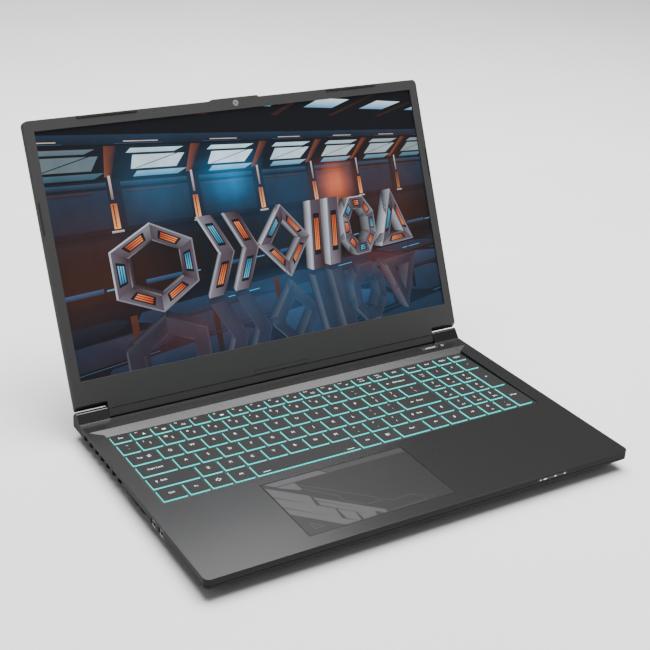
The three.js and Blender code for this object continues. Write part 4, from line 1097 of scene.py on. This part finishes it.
def paint_roof(picture):
    """Slanted windows over the wall, a beam in front of them, and skylights past the beam."""
    picture.panel(
        [(-3, 0, WALL_TOP), (HALL_LENGTH, 0, WALL_TOP), (HALL_LENGTH, 1.1, 3.2), (-3, 1.1, 3.2)],
        [NIGHT, NIGHT, tone("0d1118"), tone("0d1118")], (24, 3),
    )
    picture.next()
    for a, shine in zip(bays(-1, WINDOW_START), WINDOW_SHINE):
        pane, edge = blend(tone("233b48"), ICE, shine), blend(tone("1e3644"), SKY, shine)
        for low, high, near, far in (
            ((0.03, 2.16), (0.15, 2.34), edge, blend(edge, pane, 0.4)),
            ((0.2, 2.42), (0.62, 2.82), pane, pane),
            ((0.7, 2.88), (0.85, 3.0), blend(edge, pane, 0.7), pane),
        ):
            corners = [(a, *low), (a + 1.75, *low), (a + 2.15, *high), (a + 0.2, *high)]
            picture.panel(corners, [near, near, far, far], (2, 2))
        picture.panel(
            [(a + 2.1, 0.05, 2.2), (a + 2.35, 0.05, 2.2), (a + 2.85, 0.9, 3.1), (a + 2.45, 0.9, 3.1)],
            [COPPER, tone("2a1713"), tone("3a1f18"), tone("7a3c22")], (1, 2),
        )
    for a in bays(1, -1.2):
        picture.level(a, a + 1.5, 2.4, 3.2, ROOF, tone("5aa2d2"), ICE, 0.35)
        picture.level(a + 1.8, a + 2.1, 1.6, 4.2, ROOF, tone("3c2018"), tone("160d0c"), 1.0)
    picture.next()
    for a in bays(-1, WINDOW_START):
        corners = [(a + 0.15, 0.2, 2.44), (a + 0.24, 0.2, 2.44), (a + 1.9, 0.62, 2.82), (a + 1.8, 0.62, 2.82)]
        picture.panel(corners, [NIGHT] * 4, (1, 1))
    picture.wall(-3, HALL_LENGTH, 2.98, 3.3, tone("111b29"), tone("1f3349"), out=1.4, cells=(24, 2))
    picture.wall(-3, HALL_LENGTH, 2.93, 2.98, NIGHT, NIGHT, out=1.4, cells=(24, 1))
    picture.next()
    for a in bays(-1, 0.9):
        picture.wall(a, a + 1.15, 3.06, 3.09, tone("e2c9bd"), tone("e2c9bd"), out=1.4, cells=(1, 1))
        picture.wall(a - 0.3, a + 1.3, 3.0, 3.015, tone("3b5a74"), tone("3b5a74"), out=1.4, cells=(1, 1))
    picture.next()


def paint_posts(picture):
    """A dark post between two bays, with a silver rod above and a warm lamp below it."""
    for a in bays(0):
        picture.wall(a - 0.1, a + 0.3, 0.2, WALL_TOP, tone("101a27"), tone("16202c"), out=0.1)
    picture.next()
    for i, a in enumerate(bays(0)):
        warm = 1.0 if i in LIT_POSTS else 0.35
        lamp, core = tone("c2602a", warm), tone("ffac66", 1.3 * warm)
        picture.wall(a - 0.04, a + 0.05, 1.35, 2.2, tone("8c6a62"), tone("dccbc6"), out=0.3, cells=(1, 2))
        picture.wall(a - 0.1, a + 0.12, 0.3, 1.2, core, lamp, out=0.3, cells=(1, 3))
        picture.wall(a - 0.2, a + 0.22, 0.16, 0.24, tone("9d8f8a"), tone("d9d2cf"), out=0.32, cells=(1, 1))
    picture.next()
    for a in bays(0):
        picture.wall(a - 0.03, a + 0.01, 0.34, 1.16, tone("5d2c16"), tone("401d10"), out=0.32, cells=(1, 1))
    picture.next()


def paint_floor(picture):
    """Plates of dark polished metal with lit seams, and the lamps' mirrored streaks."""
    plate = [(0.1, 0.1), (2.8, 0.1), (3.4, 0.6), (3.4, 1.2), (3.0, 1.6), (0.7, 1.6), (0.1, 1.0)]
    for row in range(4):
        for i in range(-2, 8):
            a, o = 3.6 * i + 1.5 * (row % 2), 1.6 + 1.75 * row
            shine = (0.6 + 0.4 * math.sin(1.7 * i + 2.3 * row)) * math.exp(-(((a - 9) / 7) ** 2))
            near = blend(tone("0d131d"), tone("27486a"), shine)
            far = blend(tone("0a0f17"), tone("1a3049"), shine)
            spots = [(a + da, o + do, FLOOR) for da, do in plate]
            tones = [near, near, near, far, far, far, near]
            picture.shape([hall(*s) for s in spots], [picture.lit(s, t) for s, t in zip(spots, tones)])
    picture.next()
    for i, a in enumerate(bays(0)):
        streak = tone("7d4630" if i in LIT_POSTS else "2a445a", 0.45)
        foot, head = 2 * FLOOR - 0.6, FLOOR - 0.4
        picture.wall(a - 0.12, a + 0.12, foot, head, tone("0f1824"), streak, out=0.3, cells=(1, 3))
    for row in range(1, 4):
        for i in range(-1, 7):
            a, o = 3.6 * i + 1.5 * (row % 2), 1.6 + 1.75 * row
            seam_and_hollow_shade = tone("2f6e8c", 0.75) if (i + row) % 2 else tone("274a66", 0.6)
            picture.level(a + 0.7, a + 3.1, o + 1.7, o + 1.73, FLOOR, seam_and_hollow_shade, seam_and_hollow_shade, cells=(1, 1))
    for i in range(3):
        a = 6.6 + 4.4 * i
        picture.level(a, a + 1.2, 2.6, 2.68, FLOOR, tone("35c7e6"), tone("35c7e6"), cells=(1, 1))
    picture.next()


def turned(count, wide, tall, phase):
    angles = [math.radians(phase) + 2 * math.pi * i / count for i in range(count)]
    return [(wide * math.cos(t), tall * math.sin(t)) for t in angles]


def ring_of(count, phase, wide=1.12, tall=1.32, hollow=0.56):
    """A ring of four-cornered parts: the outer edge first, then the inner one."""
    outer = turned(count, wide, tall, phase)
    inner = [(x * hollow, y * hollow) for x, y in outer]
    return [[outer[i - 1], outer[i], inner[i], inner[i - 1]] for i in range(count)]


def hexagon():
    return ring_of(6, 30, 1.42, 1.34, 0.6)


def octagon():
    return ring_of(8, 22.5, 1.0, 1.3)


def diamond():
    return ring_of(4, 90)


def triangle():
    return [[(x, y - 0.3) for x, y in part] for part in ring_of(3, 90, 1.25, 1.6, 0.45)]


def chevrons():
    parts = []
    for x in (-0.85, 0.1):
        for side in (1, -1):
            parts.append([(x - 0.2, 1.3 * side), (x + 0.4, 0), (x + 0.95, 0), (x + 0.35, 1.3 * side)])
    return parts


def bars():
    return [[(x - 0.15, -1.3), (x + 0.2, 1.3), (x + 0.8, 1.3), (x + 0.45, -1.3)] for x in (-0.85, 0.05)]


def band(part, across, length):
    """What lies between two shares of a part's width and two of its length."""
    (s0, s1), (t0, t1) = across, length
    return [within(part, t, s) for t, s in ((t0, s0), (t1, s0), (t1, s1), (t0, s1))]


MIRRORED = 0.12  # how much of a form the floor gives back


def paint_form(picture, parts, along, out, mirrored=False):
    """One metal form: flanks, front with bright rims, and a dark inlay with thin lights."""
    middle = FLOOR + 1.4
    silver, mauve, rust = tone("ccd3e0", 1.1), tone("5d5260"), tone("382019")
    floor, umber, dust = tone("142030"), tone("2a2027"), tone("8c7f86")

    def put(corners, colours, back=0.0):
        depths = back if isinstance(back, tuple) else (back,) * len(corners)
        spots = []
        for (a, h), depth in zip(corners, depths):
            height = 2 * FLOOR - middle - h if mirrored else middle + h
            spots.append(hall(along + a, out - depth, height))
        if mirrored:
            below = [picture.lit(floor_at(spot), floor) for spot in spots]
            colours = [blend(under, colour, MIRRORED) for under, colour in zip(below, colours)]
        return spots, colours

    for part in parts:
        front = part if area_of(part) > 0 else part[::-1]
        for i, end in enumerate(front):
            start = front[i - 1]
            lit = max(0.0, (start[1] - end[1]) + 0.6 * abs(end[1] - start[1])) / 2.6
            near, far = blend(tone("4a3b3d"), silver, min(1.0, lit)), tone("1a1418")
            spots, shown = put([end, start, start, end], [near, near, far, far], (0, 0, 0.6, 0.6))
            if (area_of(spots) > 0) != mirrored:
                picture.shape(spots, shown)
    picture.next()
    for i, part in enumerate(parts):
        lit = 0.5 + 0.5 * math.sin(1.9 * i + along)
        tones = [blend(mauve, silver, 0.35 * lit), mauve, blend(rust, mauve, 0.6), blend(rust, mauve, lit)]
        picture.shape(*put(part, tones))
    picture.next()
    for i, part in enumerate(parts):
        (a, h), (b, g) = part[0], part[1]
        facing = max(0.0, -(a + b) / 2 + (g + h) / 2) / 2.2
        rim = blend(tone("6f6471"), silver, min(1.0, 0.15 + facing))
        picture.shape(*put(band(part, (0, 0.1), (0, 1)), [rim] * 4))
        picture.shape(*put(band(part, (0.92, 1), (0, 1)), [umber, dust, dust, umber]))
        if not mirrored:
            picture.shape(*put(band(part, (0.26, 0.76), (0.2, 0.8)), [tone("1b151a")] * 4))
    picture.next()
    if mirrored:
        return
    for i, part in enumerate(parts):
        warm = (i + int(along)) % 3 != 1
        light, dim = (tone("ff8a4c", 1.3), tone("d2501e")) if warm else (tone("63d0f0"), tone("2d86b4"))
        for share in (0.34, 0.47, 0.6):
            picture.shape(*put(band(part, (share, share + 0.08), (0.27, 0.73)), [light, dim, dim, light]))
    picture.next()


FORMS = (
    (4.5, hexagon), (7.0, chevrons), (9.2, diamond),
    (11.2, bars), (13.0, octagon), (15.2, triangle),
)
picture = Picture(LAMPS)
paint_hall(picture)
picture.make()
